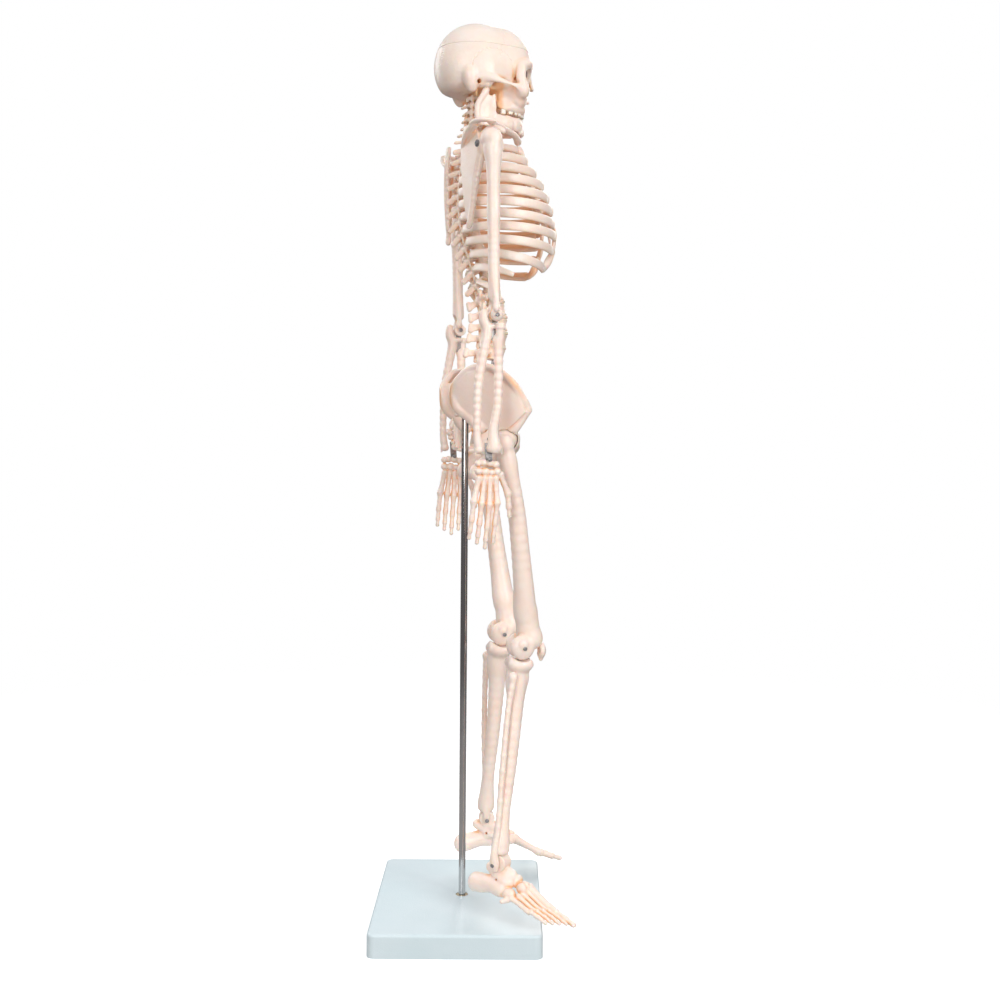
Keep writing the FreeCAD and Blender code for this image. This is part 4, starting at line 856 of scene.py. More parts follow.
def swept(name, line, tall_way, sizes, side, profile):
    """A bar of a given profile along a line; sizes gives half height and half thickness at each point. Its inner and
    lower sides get painted shade through the attribute hollow.
    """
    line = np.array(line)
    heading = np.gradient(line, axis=0)
    heading /= np.linalg.norm(heading, axis=1)[:, None]
    tall = tall_way - (tall_way * heading).sum(1)[:, None] * heading
    tall /= np.linalg.norm(tall, axis=1)[:, None]
    thin = np.cross(heading, tall)
    rings = []
    for middle, up, out, (half_tall, half_thin) in zip(line, tall, thin, sizes):
        rings.append(middle + profile[:, :1] * out * half_thin + profile[:, 1:] * up * half_tall)
    count = len(profile)
    points = np.concatenate(rings + [line[:1], line[-1:]])
    faces = []
    for ring in range(len(line) - 1):
        for index in range(count):
            other = (index + 1) % count
            faces.append((ring * count + index, ring * count + other, (ring + 1) * count + other,
                          (ring + 1) * count + index))
    first, last = len(points) - 2, len(points) - 1
    base = (len(line) - 1) * count
    caps = []
    for index in range(count):
        other = (index + 1) % count
        caps.append((first, other, index))
        caps.append((last, base + index, base + other))
    mesh = bpy.data.meshes.new(name)
    every = faces + caps
    if side == RIGHT:
        every = [face[::-1] for face in every]
    mesh.from_pydata((points * np.array((side, -1, 1)) * MM).tolist(), [], every)
    mesh.polygons.foreach_set("use_smooth", np.ones(len(every), bool))
    mesh.update()
    # painted shade: the profile's inner and lower points get warm shade through the hollow attribute
    around = np.maximum(np.clip(-profile[:, 0], 0, 1) * INSIDE_PAINTED_SHADE, np.clip(-profile[:, 1] - 0.35, 0, 1) * UNDERSIDE_PAINTED_SHADE)
    inside = np.concatenate([np.tile(around, len(line)), (0, 0)])
    mesh.attributes.new("hollow", "FLOAT", "POINT").data.foreach_set("value", inside.astype(np.float32))
    obj = bpy.data.objects.new(name, mesh)
    bpy.context.scene.collection.objects.link(obj)
    return obj


def rib_profile():
    """A flat oval with a shallow groove along the lower inside edge: (thickness, height)."""
    points = []
    for index in range(20):
        angle = math.tau * index / 20
        across, up = math.cos(angle), math.sin(angle)
        across = math.copysign(abs(across) ** 0.75, across)
        if across < 0 and -0.85 < up < -0.2:
            across *= 0.45
        points.append((across, up))
    return np.array(points)


def rib_line(number):
    """The rib's middle line from its head on the spine to its front end, and its half sizes."""
    middle = THORACIC_PLACES[number]
    radius = BODY_RADIUS["thoracic"]
    inset = RIB_THICK / 2
    first = math.asin(2.75 * radius / rib_reach(number))
    last = rib_sweep(number)
    head = spot(radius * 0.98, middle[1] - 0.55 * radius, middle[2] + 1.8)
    neck = spot(radius * 1.75, middle[1] - 1.45 * radius, middle[2] + 2.0)
    arc = [rib_point(number, first + (last - first) * step / 9, inset) for step in range(10)]
    line = curve_through([head, neck] + arc, 5)
    count = len(line)
    full_tall = RIB_TALL / 2 * (0.75 if number in (1, 12) else 1.0)
    sizes = []
    for index in range(count):
        share = index / (count - 1)
        grown = min(share / 0.2, 1)
        tall = full_tall * (0.72 + 0.28 * grown) * (1 + 0.12 * max(share - 0.85, 0) / 0.15)
        thick = RIB_THICK / 2 * (1.25 - 0.25 * grown)
        if index == 0:
            tall, thick = tall * 0.7, thick * 0.8
        if share > 0.15 and number > 10:
            tall *= 1 - 0.55 * max(share - 0.6, 0) / 0.4
            thick *= 1 - 0.4 * max(share - 0.6, 0) / 0.4
        if index == count - 1:
            tall, thick = tall * 0.82, thick * 0.75
        sizes.append((tall, thick))
    tilt = rib_oval(number)[2]
    return line, spot(0, math.sin(tilt), math.cos(tilt)), sizes


STERNUM_LINE = [(49, 734), (57, 713), (80, 656), (83, 641)]
STERNUM_WIDTH, STERNUM_THICK = 13.0, 5.0


def sternum_at(height):
    for (forward_a, height_a), (forward_b, height_b) in zip(STERNUM_LINE, STERNUM_LINE[1:]):
        if height >= height_b:
            break
    return forward_a + (height_a - height) / (height_a - height_b) * (forward_b - forward_a)


def make_sternum():
    clay = Clay((0, 42, 634), (16, 90, 740), both_sides=True)
    half = STERNUM_WIDTH / 2

    def across(points):
        right = [spot(out, sternum_at(height), height) for out, height in points]
        left = [spot(-out, sternum_at(height), height) for out, height in reversed(points) if out > 0]
        return right + left

    handle = [(0, 731.5), (4.5, 733), (8, 735), (12, 730.5), (11.2, 724), (7.6, 716), (6.8, 712.5)]
    clay.add(plate(across(handle), STERNUM_THICK * 0.95, soft=1.8), 1.5)
    body = [(5.6, 711.5), (6, 704), (5.6, 699), (6.4, 690), (6.2, 684), (7.2, 675), (7, 668), (7, 661), (4.5, 656)]
    clay.add(plate(across(body), STERNUM_THICK * 0.85, soft=1.7), 1.5)
    for number in range(2, TRUE_RIBS + 1):
        height = 728 - 11.5 * (number - 1)
        clay.cut(egg(spot(half * 1.14, sternum_at(height), height), (1.6, 4, 2.4)), 1.2)
    for height in (699, 687.5, 676, 664.5):
        clay.add(bar(spot(0, sternum_at(height) + 2.0, height), spot(4.4, sternum_at(height) + 1.9, height), 0.8), 1)
    clay.add(bar(spot(0, 56.5, 713.5), spot(6, 56, 713.5), 2.6), 1.2)
    shaft(clay, [(0, 80, 657, 2.4), (0, 82, 649, 1.9), (0, 82.5, 642.5, 1.2)], 1.5, thin=(0, 1, 0), share=0.6)
    return clay


def cartilage_line(number):
    """From a rib's front end, on along the rib, then up to the breastbone or to the rib above."""
    start = rib_point(number, rib_sweep(number), RIB_THICK / 2)
    before = rib_point(number, rib_sweep(number) - 0.12, RIB_THICK / 2)
    heading = (start - before) / np.linalg.norm(start - before)
    if number <= TRUE_RIBS:
        height = 728 - 11.5 * (number - 1)
        half = STERNUM_WIDTH * (0.86 if number == 1 else 0.5) + 0.4
        end = spot(half, sternum_at(height), height)
    else:
        above = cartilage_line(number - 1)
        end = above[int(len(above) * 0.5)] - spot(0, 0, 2.0)
    gap = np.linalg.norm(end - start)
    bend = start + heading * gap * (0.3 if number < 4 else 0.42)
    line = []
    for share in np.linspace(0, 1, 22):
        line.append((1 - share) ** 2 * start + 2 * share * (1 - share) * bend + share ** 2 * end)
    return np.array(line)


# ---------------------------------------------------------------- shoulder and arm

def make_clavicle():
    clay = Clay((6, -2, 730), (84, 56, 752))
    shaft(clay, [(13.2, 46.6, 737.6, 3.3), (18, 44.8, 738.4, 2.9), (28, 39.8, 740, 2.7), (40, 30.5, 741, 2.6),
                 (52, 20, 741.5, 2.6), (63, 12.5, 741.5, 2.8), (71, 8.5, 741.3, 3.1), (76, 6, 741, 2.8)], 1.5)
    clay.add(bar(spot(62, 12, 741.3), spot(75.5, 6.3, 740.9), 3.0, 3.8, (0, 0, 1), 0.58), 1.5)
    clay.cut(egg(spot(50, 21, 737.6), (12, 5, 1.6)), 1.5)
    return clay


def make_scapula():
    clay = Clay((34, -30, 640), (92, 28, 752))
    outline = [spot(43, -9.5, 741), spot(40.5, -11.5, 724), spot(42, -11, 706), spot(45, -10, 684),
               spot(48.5, -9, 662), spot(52, -8, 648), spot(56, -7, 655), spot(60, -5, 675),
               spot(64, -3, 695), spot(68, -0.5, 710), spot(69, 0.5, 722), spot(67, -2, 732), spot(61, -4.5, 738),
               spot(52, -7.5, 741.5)]
    clay.add(plate(outline, 2.0, bow=-3.0), 1)
    shaft(clay, [(69, 0, 713, 3.0), (65.5, -2, 698, 2.3), (61, -4.6, 678, 2.0), (56.5, -6.6, 658, 2.0),
                 (52.5, -8, 649, 2.4)], 2)
    shaft(clay, [(43, -9.5, 740.5, 2.0), (40.8, -11.5, 724, 1.4), (42.3, -11.1, 706, 1.3), (45.5, -10, 684, 1.3),
                 (49, -9, 663, 1.6)], 1.5)
    ridge = [(43, -12.5, 722.5, 1.3), (52, -13.5, 727.5, 1.5), (63, -12.5, 733, 1.8), (73, -9.5, 737.5, 2.2)]
    shaft(clay, ridge, 1.5)
    for low, high in zip(ridge, ridge[1:]):
        root_low, root_high = spot(low[0], low[1] + 5, low[2] - 1), spot(high[0], high[1] + 6, high[2] - 1.5)
        clay.add(plate([spot(*low[:3]), spot(*high[:3]), root_high, root_low], 1.8), 1.5)
    shaft(clay, [(72, -10, 738, 2.8), (79, -5.5, 739.5, 3.8), (83, 1, 739.5, 4.0), (82.5, 7.5, 738.5, 3.0)], 1.5,
          thin=(0.15, 0, 1), share=0.5)
    shaft(clay, [(66.5, 1, 729, 3.4), (66, 8, 735, 2.9), (68, 14, 736, 2.6), (71, 19, 733, 2.4)], 1.5)
    clay.add(egg(spot(71.5, 2.4, 720.5), (3.6, 6, 9.2)), 3)
    clay.cut(egg(SHOULDER, (11.9, 11.9, 11.9)), 0.8)
    clay.cut(egg(spot(64, -5, 741), (2.4, 4, 2.6)), 1)
    return clay


def make_humerus():
    clay = Clay((68, -8, 552), (102, 24, 738))
    clay.add(egg(SHOULDER + spot(-1.2, -0.6, 0.8), (9.6, 9.8, 9.8)), 1)
    clay.add(egg(SHOULDER + spot(5.5, 1.5, -1.5), (5, 6, 8)), 2.5)
    clay.add(egg(SHOULDER + spot(0.5, 7.2, -4.5), (3.2, 3, 5)), 2)
    clay.cut(bar(SHOULDER + spot(4, 9.5, 3), SHOULDER + spot(3.2, 9.5, -18), 1.5), 1.5)
    shaft(clay, [(86, 6.4, 714, 8.6), (86.5, 6.8, 705, 6.9), (86.3, 7.0, 690, 5.7), (86.4, 7.2, 668, 5.3),
                 (86.2, 7.4, 655, 5.5), (85.6, 7.8, 636, 5.0), (85.2, 8.2, 612, 4.8), (85, 8.6, 592, 5.0),
                 (85, 9, 579, 5.4)], 2)
    clay.add(egg(spot(88.5, 8, 660), (3.4, 3.6, 14)), 2.5)
    outline = [spot(81, 8.2, 604), spot(79, 8.2, 590), spot(74.2, 8.4, 573), spot(76, 8.6, 567),
               spot(94, 9.4, 567), spot(96, 9.4, 573), spot(91.5, 9, 590), spot(89, 9, 604)]
    clay.add(plate(outline, 5.0, soft=2), 2.5)
    clay.add(egg(spot(74.8, 7.6, 570.5), (3, 3, 4)), 2)
    clay.add(egg(spot(95.4, 8.6, 571), (2.6, 2.8, 4)), 2)
    clay.add(drum(spot(80.5, ELBOW[1], ELBOW[2]), (6.2, 6.2), 9, axis=(1, 0, 0), waist=0.2, soft=1,
                  front=(0, 1, 0)), 1)
    clay.add(egg(spot(90.6, ELBOW[1] + 0.6, ELBOW[2] + 0.2), (5, 5.8, 5.8)), 1.2)
    clay.cut(egg(spot(83.5, 3.5, 575.5), (5, 3.2, 4.6)), 1.5)
    clay.cut(egg(spot(83.5, 14.5, 574.5), (4, 2.6, 3)), 1.5)
    clay.cut(drum(ELBOW, (10.8, 10.8), 2.3, axis=(1, 0, 0), soft=0.1), 0.3)
    return clay


def make_ulna():
    clay = Clay((72, -16, 434), (98, 20, 582))
    top = ELBOW
    line = [(84, top[1] - 9.3, top[2] + 2.5, 3.6), (84, top[1] - 9.2, top[2] - 5, 3.9),
            (84, top[1] - 6.5, top[2] - 13, 4.2), (84.4, top[1] - 9, top[2] - 28, 3.9),
            (84.8, top[1] - 14, top[2] - 56, 3.6), (85, top[1] - 15.5, top[2] - 82, 3.2),
            (85, WRIST[1] - 11, WRIST[2] + 22, 3.0), (85, WRIST[1] - 9.4, WRIST[2] + 10, 3.3)]
    shaft(clay, line, 2)
    clay.add(egg(spot(84, top[1] - 1.5, top[2] - 9.6), (4.6, 5.4, 2.8)), 2)
    clay.add(egg(spot(85, WRIST[1] - 9.2, WRIST[2] + 8.5), (3.9, 4.2, 3.4)), 1.5)
    clay.add(bar(spot(85.4, WRIST[1] - 12, WRIST[2] + 8), spot(85.6, WRIST[1] - 12.6, WRIST[2] + 4.6), 1.4, 0.9), 1)
    clay.cut(drum(top, (6.9, 6.9), 30, axis=(1, 0, 0), soft=0.2), 0.8)
    clay.cut(bar(spot(89.6, top[1] + 4.6, top[2] - 16), spot(89.6, top[1] + 4.6, top[2] - 6), 4.2), 1)
    return clay


def make_radius():
    clay = Clay((72, -8, 434), (99, 26, 566))
    top = ELBOW
    out = 88.4
    clay.add(drum(spot(out, top[1] + 4.2, top[2] - 9.4), (4.9, 4.9), 5.0, waist=0.04, soft=1), 1)
    shaft(clay, [(out, top[1] + 4.2, top[2] - 11, 3.1), (out - 0.6, top[1] + 4.0, top[2] - 18, 3.1),
                 (out - 1.8, top[1] + 3.0, top[2] - 28, 3.9), (87, top[1] + 3.2, top[2] - 55, 3.6),
                 (86.6, top[1] + 2.4, top[2] - 82, 3.5), (86, WRIST[1] + 3.6, WRIST[2] + 26, 3.9),
                 (85.6, WRIST[1] + 4.4, WRIST[2] + 14, 5.0), (85.4, WRIST[1] + 4.6, WRIST[2] + 9.6, 5.6)], 2)
    clay.add(egg(spot(86.5, top[1] + 0.6, top[2] - 22), (2.6, 3, 4.6)), 2)
    clay.add(egg(spot(85.4, WRIST[1] + 4.6, WRIST[2] + 9.5), (5.6, 7.4, 4.4)), 2)
    clay.add(bar(spot(86, WRIST[1] + 10.4, WRIST[2] + 9), spot(86, WRIST[1] + 11, WRIST[2] + 5.2), 1.9, 1.0), 1)
    clay.cut(egg(spot(85.4, WRIST[1] + 2, WRIST[2] + 2.6), (6, 8.4, 3.6)), 1)
    clay.cut(drum(top, (6.7, 6.7), 30, axis=(1, 0, 0), soft=0.2), 0.8)
    clay.cut(egg(spot(out, top[1] + 4.2, top[2] - 6.4), (3.4, 3.4, 1.2)), 0.6)
    return clay


def finger_bone(clay, start, end, base, head):
    """One bone of a finger or toe, narrow in the middle and wider at its ends."""
    middle = start + (end - start) * 0.5
    waist = 0.74 * (base + head) / 2
    clay.add(bar(start, start + (end - start) * 0.22, base, waist), 0.3)
    clay.add(bar(start + (end - start) * 0.2, middle, waist, waist), 0.8)
    clay.add(bar(middle, end - (end - start) * 0.15, waist, waist * 1.05), 0.8)
    clay.add(bar(end - (end - start) * 0.16, end, waist * 1.1, head), 0.8)


def make_hand():
    clay = Clay((70, -32, 350), (98, 34, 446), step=FINE * 0.85)
    near_row = [(-8.2, -3.6, 3.0), (-3.4, -3.0, 3.2), (2.2, -3.2, 3.5), (7.6, -4.6, 3.4)]
    far_row = [(-7.8, -10.4, 3.4), (-1.8, -10.8, 3.9), (3.6, -11.6, 3.0), (8.8, -10.8, 3.4)]
    for number, (forward, height, radius) in enumerate(near_row + far_row):
        middle = WRIST + spot(0.5 * math.sin(number * 2.1), forward - 1.5, height)
        clay.add(egg(middle, (4.2, radius * 1.1, radius * 1.05)), 0.9)
    for index in range(4):
        knuckle = WRIST + spot(0.5, 7.5 - 7 * index, -40 + 1.5 * abs(index - 1))
        tip = WRIST + spot(-3.5, 4.5 - 7.2 * index, -80 + 4.5 * abs(index - 1))
        root = WRIST + spot(0, 6 - 5 * index, -16.5)
        finger_bone(clay, root, knuckle, 3.3, 3.5)
        curl = spot(0.9, 0, 0)
        cuts = [0.055, 0.47, 0.52, 0.76, 0.81, 0.965]
        joints = [knuckle + (tip - knuckle) * share + curl * math.sin(math.pi * share) for share in cuts]
        for number, (base, head) in enumerate(((3.1, 2.7), (2.7, 2.3), (2.3, 1.6))):
            finger_bone(clay, joints[2 * number], joints[2 * number + 1], base, head)
        clay.add(egg(joints[5], (1.2, 1.9, 1.5)), 0.5)
    root, joint, tip = WRIST + spot(-1, 10.5, -13.5), WRIST + spot(-5, 18.5, -30), WRIST + spot(-8, 21, -52)
    finger_bone(clay, root, joint, 3.6, 3.5)
    finger_bone(clay, joint + (tip - joint) * 0.1, joint + (tip - joint) * 0.54, 3.3, 2.8)
    finger_bone(clay, joint + (tip - joint) * 0.62, joint + (tip - joint) * 0.95, 2.8, 1.8)
    clay.add(egg(tip - spot(0, 0, -1), (1.4, 2.1, 1.7)), 0.5)
    clay.cut(block(WRIST + spot(0, 0, 1), (1.15, 7.5, 9.5), 0.3), 0.3)
    return clay


# ---------------------------------------------------------------- leg and foot

def make_femur():
    clay = Clay((22, 8, 244), (76, 66, 474))
    clay.add(egg(HIP, (11, 11, 11)), 1)
    clay.cut(egg(HIP + spot(-11.6, -2, 1), (1.8, 2, 2)), 0.8)
    shaft(clay, [HIP.tolist() + [7.6], (HIP + spot(9, -2, -4)).tolist() + [6.0],
                 (HIP + spot(16, -3, -8)).tolist() + [7.0]], 3)
    clay.add(egg(HIP + spot(18.6, -4.5, -5), (6.2, 7.4, 9.5), turned(8, "Y")), 3)
    clay.add(bar(HIP + spot(17, -8, 2), HIP + spot(18, -5, -4), 2.6, 4), 2)
    clay.add(egg(HIP + spot(8.5, -9, -21), (3.6, 3.4, 5)), 2.5)
    clay.add(bar(HIP + spot(15.5, -9.5, -4), HIP + spot(9, -10, -18), 2.4, 2.0), 2.5)
    clay.cut(egg(HIP + spot(10.5, -10.5, -5), (3.2, 2.6, 4.6)), 1.5)
    line = [HIP + spot(16, -2, -16), HIP + spot(14.5, 1.5, -34), HIP + spot(12.2, 8.5, -66),
            HIP + spot(9.6, 13, -100), HIP + spot(5.5, 17.2, -134), KNEE + spot(2.2, 3.0, 30)]
    widths = (8.4, 7.6, 7.3, 7.6, 8.6, 10.4)
    shaft(clay, [point.tolist() + [width] for point, width in zip(line, widths)], 3)
    shaft(clay, [(point - spot(0.5, width * 0.82, 0)).tolist() + [1.7] for point, width in zip(line[1:5], widths[1:5])],
          2)
    clay.add(bar(KNEE + spot(2, 4.4, 32), KNEE + spot(1, 6.5, 13), 10.2, 11.2), 3)
    clay.add(egg(KNEE + spot(-8.6, -1.0, -0.2), (6.8, 11.2, 11.7)), 2)
    clay.add(egg(KNEE + spot(9.4, -0.8, 0.2), (6.6, 11.2, 11.5)), 2)
    clay.add(egg(KNEE + spot(0.5, 10, 7), (12, 10.5, 10.5)), 4)
    clay.add(egg(KNEE + spot(-14.4, -1, 4), (2.4, 4, 4)), 2)
    clay.add(egg(KNEE + spot(15, -1, 3.6), (2.2, 4, 4)), 2)
    clay.cut(bar(KNEE + spot(0.6, 25, 16), KNEE + spot(0.4, 21, -8), 4.8), 3)
    clay.cut(egg(KNEE + spot(0.4, -9, -4), (4.2, 11, 10.5)), 1.5)
    clay.cut(block(KNEE + spot(0, 0, -9), (3.6, 12, 9), 1), 1)
    return clay


def make_patella():
    low, high = node_span("patella_r")
    middle = spot(KNEE[0] + 1, (low[1] + high[1]) / 2 + 0.8, (low[2] + high[2]) / 2)
    clay = Clay(middle - 12, middle + 12)
    clay.add(egg(middle + spot(0, 0, 1), (8, 4.0, 7.4)), 1)
    clay.add(bar(middle, middle - spot(0, 0.4, 7.6), 3.8, 1.8), 2.5)
    clay.cut(egg(middle + spot(-4.6, -4.4, 1.4), (5, 2.2, 5)), 0.8)
    clay.cut(egg(middle + spot(4.6, -4.4, 1.4), (5, 2.2, 5)), 0.8)
    return clay


def foot_ways(letter):
    """The foot's own directions: outward across the ankle and forward along the sole, both level."""
    axis = JOINTS["ankle_lift_" + letter]["axis"]
    side = SIDES[letter]
    across = spot(-axis[0] * side, axis[1], 0)
    across = across if across[0] > 0 else -across
    ahead = spot(-across[1], across[0], 0)
    return across, ahead


def make_tibia(letter):
    ankle = ANKLES[letter]
    across, ahead = foot_ways(letter)
    clay = Clay(spot(22, 8, ankle[2] - 18), spot(90, 66, KNEE[2] - 4))
    plateau = KNEE + spot(0, -3, -14.5)
    end = ankle + spot(0, 0, 12)
    axis = end - plateau
    clay.add(egg(plateau + spot(-8, 1.5, -1.5), (8.6, 12, 7)), 2)
    clay.add(egg(plateau + spot(8, 1.2, -1.5), (8.0, 11.8, 7)), 2)
    clay.add(bar(plateau - spot(0, -1, 2), plateau + axis * 0.13, 11.4, 8.4), 4)
    shaft(clay, [(plateau + axis * share + spot(0, lead, 0)).tolist() + [radius] for share, lead, radius in (
        (0.08, 0, 9.4), (0.2, 1, 7.2), (0.4, 1.6, 6.4), (0.6, 1, 5.8), (0.8, 0, 5.3), (0.93, 0, 6.4),
        (1.0, 0, 7.6))], 3)
    shaft(clay, [(plateau + axis * share + spot(-0.8, lead, 0)).tolist() + [radius] for share, lead, radius in (
        (0.1, 7.6, 3.6), (0.2, 6.4, 2.6), (0.4, 5.6, 2.2), (0.6, 4.6, 2.0), (0.8, 2.6, 1.8))], 2.5)
    clay.add(egg(plateau + axis * 0.09 + spot(1, 8.6, 1), (4.2, 3, 6)), 2.5)
    clay.add(egg(plateau + spot(0, -0.5, 6.2), (2.6, 3.6, 2.2)), 1.5)
    inner = ankle - across * 8.3
    clay.add(bar(ankle - across * 5.5 + spot(0, 0, 12), inner - spot(0, 0, 1.5), 4.6, 2.6, across, 0.75), 2.5)
    clay.add(egg(ankle + spot(0, 0, 10.5), (8.4, 7.6, 3.4), np.array([across, ahead, (0, 0, 1)])), 2)
    clay.cut(drum(KNEE, (12.9, 12.9), 60, axis=(1, 0, 0), soft=0.3), 0.8)
    clay.cut(drum(ankle - across * 0.1, (8.8, 8.8), 13.2, axis=across, soft=0.3, front=(0, 0, 1)), 0.6)
    return clay


def make_fibula(letter):
    ankle = ANKLES[letter]
    across, ahead = foot_ways(letter)
    head = KNEE + spot(15.5, -11, -27)
    outer = ankle + across * 9.4
    clay = Clay(spot(44, 2, ankle[2] - 18), spot(92, 62, head[2] + 14))
    clay.add(egg(head + spot(0, 0, 1), (4.1, 4.3, 5)), 1)
    line = [head + spot(0, 0, -2), head + (outer - head) * 0.18 - spot(0.5, 1.5, 0),
            head + (outer - head) * 0.5 - spot(-0.6, 1.4, 0), head + (outer - head) * 0.8,
            outer + spot(0, 0, 12), outer + spot(0, 0, 1)]
    radii = (3.3, 2.6, 2.75, 2.6, 3.0, 3.6)
    shaft(clay, [point.tolist() + [radius] for point, radius in zip(line, radii)], 1.5)
    clay.add(egg(outer + spot(0, 0, 0.5), (3.1, 4.6, 7.6), np.array([across, ahead, (0, 0, 1)])), 2)
    clay.cut(drum(ankle, (8.4, 8.4), 12.8, axis=across, soft=0.3, front=(0, 0, 1)), 0.6)
    return clay


FOOT_DROP = {"r": 9, "l": 5}


def make_foot():
    """The foot in its own frame: the origin is the ankle's axis, the toes point forward."""
    clay = Clay((-22, -34, -42), (24, 88, 10), step=FINE * 0.9)
    floor = -36
    clay.add(drum(spot(0, 1, 0.4), (7.7, 7.7), 11.6, axis=(1, 0, 0), waist=0.06, soft=0.8), 1)
    clay.add(bar(spot(0, 0.5, -5), spot(-2.5, 13, -9), 5.6, 5.2), 1.4)
    clay.add(bar(spot(1, -8, -7), spot(0.5, -1, -10), 4.6, 6), 2.5)
    clay.add(egg(spot(1, 7, -15), (7.4, 11, 7.5)), 3)
    shaft(clay, [(0, -21, floor + 9.5, 8.2), (0.8, -13, floor + 11.5, 7.2), (2, -3, floor + 14.5, 6.8),
                 (4, 9, floor + 14, 6.6)], 2.5)
    clay.add(egg(spot(0, -23.5, floor + 8.6), (6.4, 5.4, 8.2)), 2.5)
    clay.add(bar(spot(-3, 2, -16.5), spot(-6, 7, -15.5), 3.4, 2.6), 2)
    clay.cut(bar(spot(-12, 0.5, -14.4), spot(12, 3.5, -13.6), 0.9), 0.8)
    clay.add(egg(spot(6.6, 18, -22), (5.4, 6.4, 5.4)), 0.8)
    clay.add(egg(spot(-4.4, 18.6, -13), (6.6, 3.8, 6)), 0.8)
    for out, height, width in ((-9.2, -17.4, 3.9), (-4.2, -14.8, 3.0), (0.6, -15.8, 3.2)):
        clay.add(egg(spot(out, 26.2, height), (width, 4.9, 5.0)), 0.8)
    mid = spot(1, 26, floor + 18.4)
    for index in range(5):
        spread = 10 - 5 * index
        root = mid + spot(-0.9 * spread, 4 - 0.9 * index - (3.5 if index == 4 else 0), 1.6 - 1.7 * index)
        head = spot(-1.0 * spread, 55 - 3.2 * index, floor + 7.5)
        tip = spot(-0.9 * spread - 1, 78 - 4.5 * index, floor + 2.6)
        if index == 0:
            finger_bone(clay, root, head, 4.0, 3.8)
            finger_bone(clay, head + (tip - head) * 0.16, head + (tip - head) * 0.56, 3.8, 3.2)
            finger_bone(clay, head + (tip - head) * 0.66, tip - (tip - head) * 0.04, 3.2, 2.3)
            clay.add(egg(tip, (3.0, 2.0, 1.8)), 0.6)
            continue
        finger_bone(clay, root, head, 3.0, 2.5)
        for low, high, base, end in ((0.12, 0.5, 2.5, 2.0), (0.56, 0.74, 2.1, 1.8), (0.79, 0.97, 1.9, 1.4)):
            arch = spot(0, 0, 1.6 * math.sin(math.pi * (low + high) / 2))
            finger_bone(clay, head + (tip - head) * low + arch, head + (tip - head) * high + arch * 0.7, base, end)
    clay.add(bar(spot(11.5, 20, -25), spot(14.5, 16, -27), 2.6, 2.0), 1.5)
    return clay


# ---------------------------------------------------------------- small metal parts

def make_screw_head(centre, direction, radius=2.3):
    """A domed head with a cross slot, facing a direction."""
    way = np.array(direction, float) / np.linalg.norm(direction)
    aside = np.cross(way, (0, 0, 1) if abs(way[2]) < 0.9 else (0, 1, 0))
    aside /= np.linalg.norm(aside)
    upward = np.cross(way, aside)
    clay = Clay(centre - radius * 1.8, centre + radius * 1.8, step=FINE * 0.42)
    clay.add(drum(centre, (radius, radius), radius * 0.7, axis=way, soft=0.3, front=upward), 0.4)
    clay.add(egg(centre + way * radius * 0.25, (radius * 0.42, radius * 0.86, radius * 0.86),
                 np.array([way, aside, upward])), 0.5)
    for slot_way in (aside, upward):
        other = np.cross(way, slot_way)
        rows = np.array([slot_way, other, way])
        clay.cut(block(centre + way * radius * 0.72, (radius * 0.62, radius * 0.14, radius * 0.34), 0.1, rows), 0.15)
    return clay


def fitting_screws():
    """(name, clay, side, body) of every screw head that shows."""
    found = []
    for index, middle in enumerate(loose_parts("back_screws")):
        side = RIGHT if middle[0] < 0 else LEFT
        letter = "r" if side == RIGHT else "l"
        middle = spot(abs(middle[0]), middle[1], middle[2])
        if middle[2] < HIP[2] + 60:
            head, way = middle + spot(10.6, 0, 0), spot(1, 0, 0)
        else:
            head, way = middle - spot(0, 3.0, 0), spot(0.25, -1, 0)
        found.append((f"back_screw_head_{index}_{letter}", make_screw_head(head, way, 1.9), side, "torso"))
    for letter, side in SIDES.items():
        across, _ = foot_ways(letter)
        ankle = ANKLES[letter]
        blade_screw = make_screw_head(spot(70, -4.4, 721), spot(0.35, -1, 0), 3.2)
        found.append((f"shoulder_screw_head_{letter}", blade_screw, side, "torso"))
        ends = [("knee_outer", KNEE + spot(16.6, 0, 0), spot(1, 0, 0), "shank_"),
                ("knee_inner", KNEE - spot(16.6, 0, 0), spot(-1, 0, 0), "shank_"),
                ("ankle_outer", ankle + across * 12.6, across, "shank_"),
                ("ankle_inner", ankle - across * 11.2, -across, "shank_"),
                ("elbow_outer", ELBOW + spot(11.2, 0, 0), spot(1, 0, 0), "forearm_"),
                ("elbow_inner", ELBOW - spot(11.2, 0, 0), spot(-1, 0, 0), "forearm_"),
                ("wrist_outer", WRIST + spot(5.2, 0, 0), spot(1, 0, 0), "forearm_"),
                ("wrist_inner", WRIST - spot(5.2, 0, 0), spot(-1, 0, 0), "forearm_"),
                ("hip_inner", HIP - spot(18.2, 0, 0), spot(-1, 0, 0), "thigh_")]
        for name, centre, way, body in ends:
            found.append((f"{name}_screw_head_{letter}", make_screw_head(centre, way, 1.9), side, body + letter))
    return found


# ---------------------------------------------------------------- materials

def node(tree, kind, **values):
    made = tree.nodes.new(kind)
    for name, value in values.items():
        if name in made.inputs:
            made.inputs[name].default_value = value
        else:
            setattr(made, name, value)
    return made


def colour_mix(tree, factor, first, second, mode="MIX"):
    """Blends two colours or sockets by a factor socket and returns the result's socket."""
    mix = tree.nodes.new("ShaderNodeMix")
    mix.data_type = "RGBA"
    mix.blend_type = mode
    for socket, value in ((mix.inputs[0], factor), (mix.inputs[6], first), (mix.inputs[7], second)):
        if isinstance(value, bpy.types.NodeSocket):
            tree.links.new(value, socket)
        else:
            socket.default_value = value
    return mix.outputs[2]


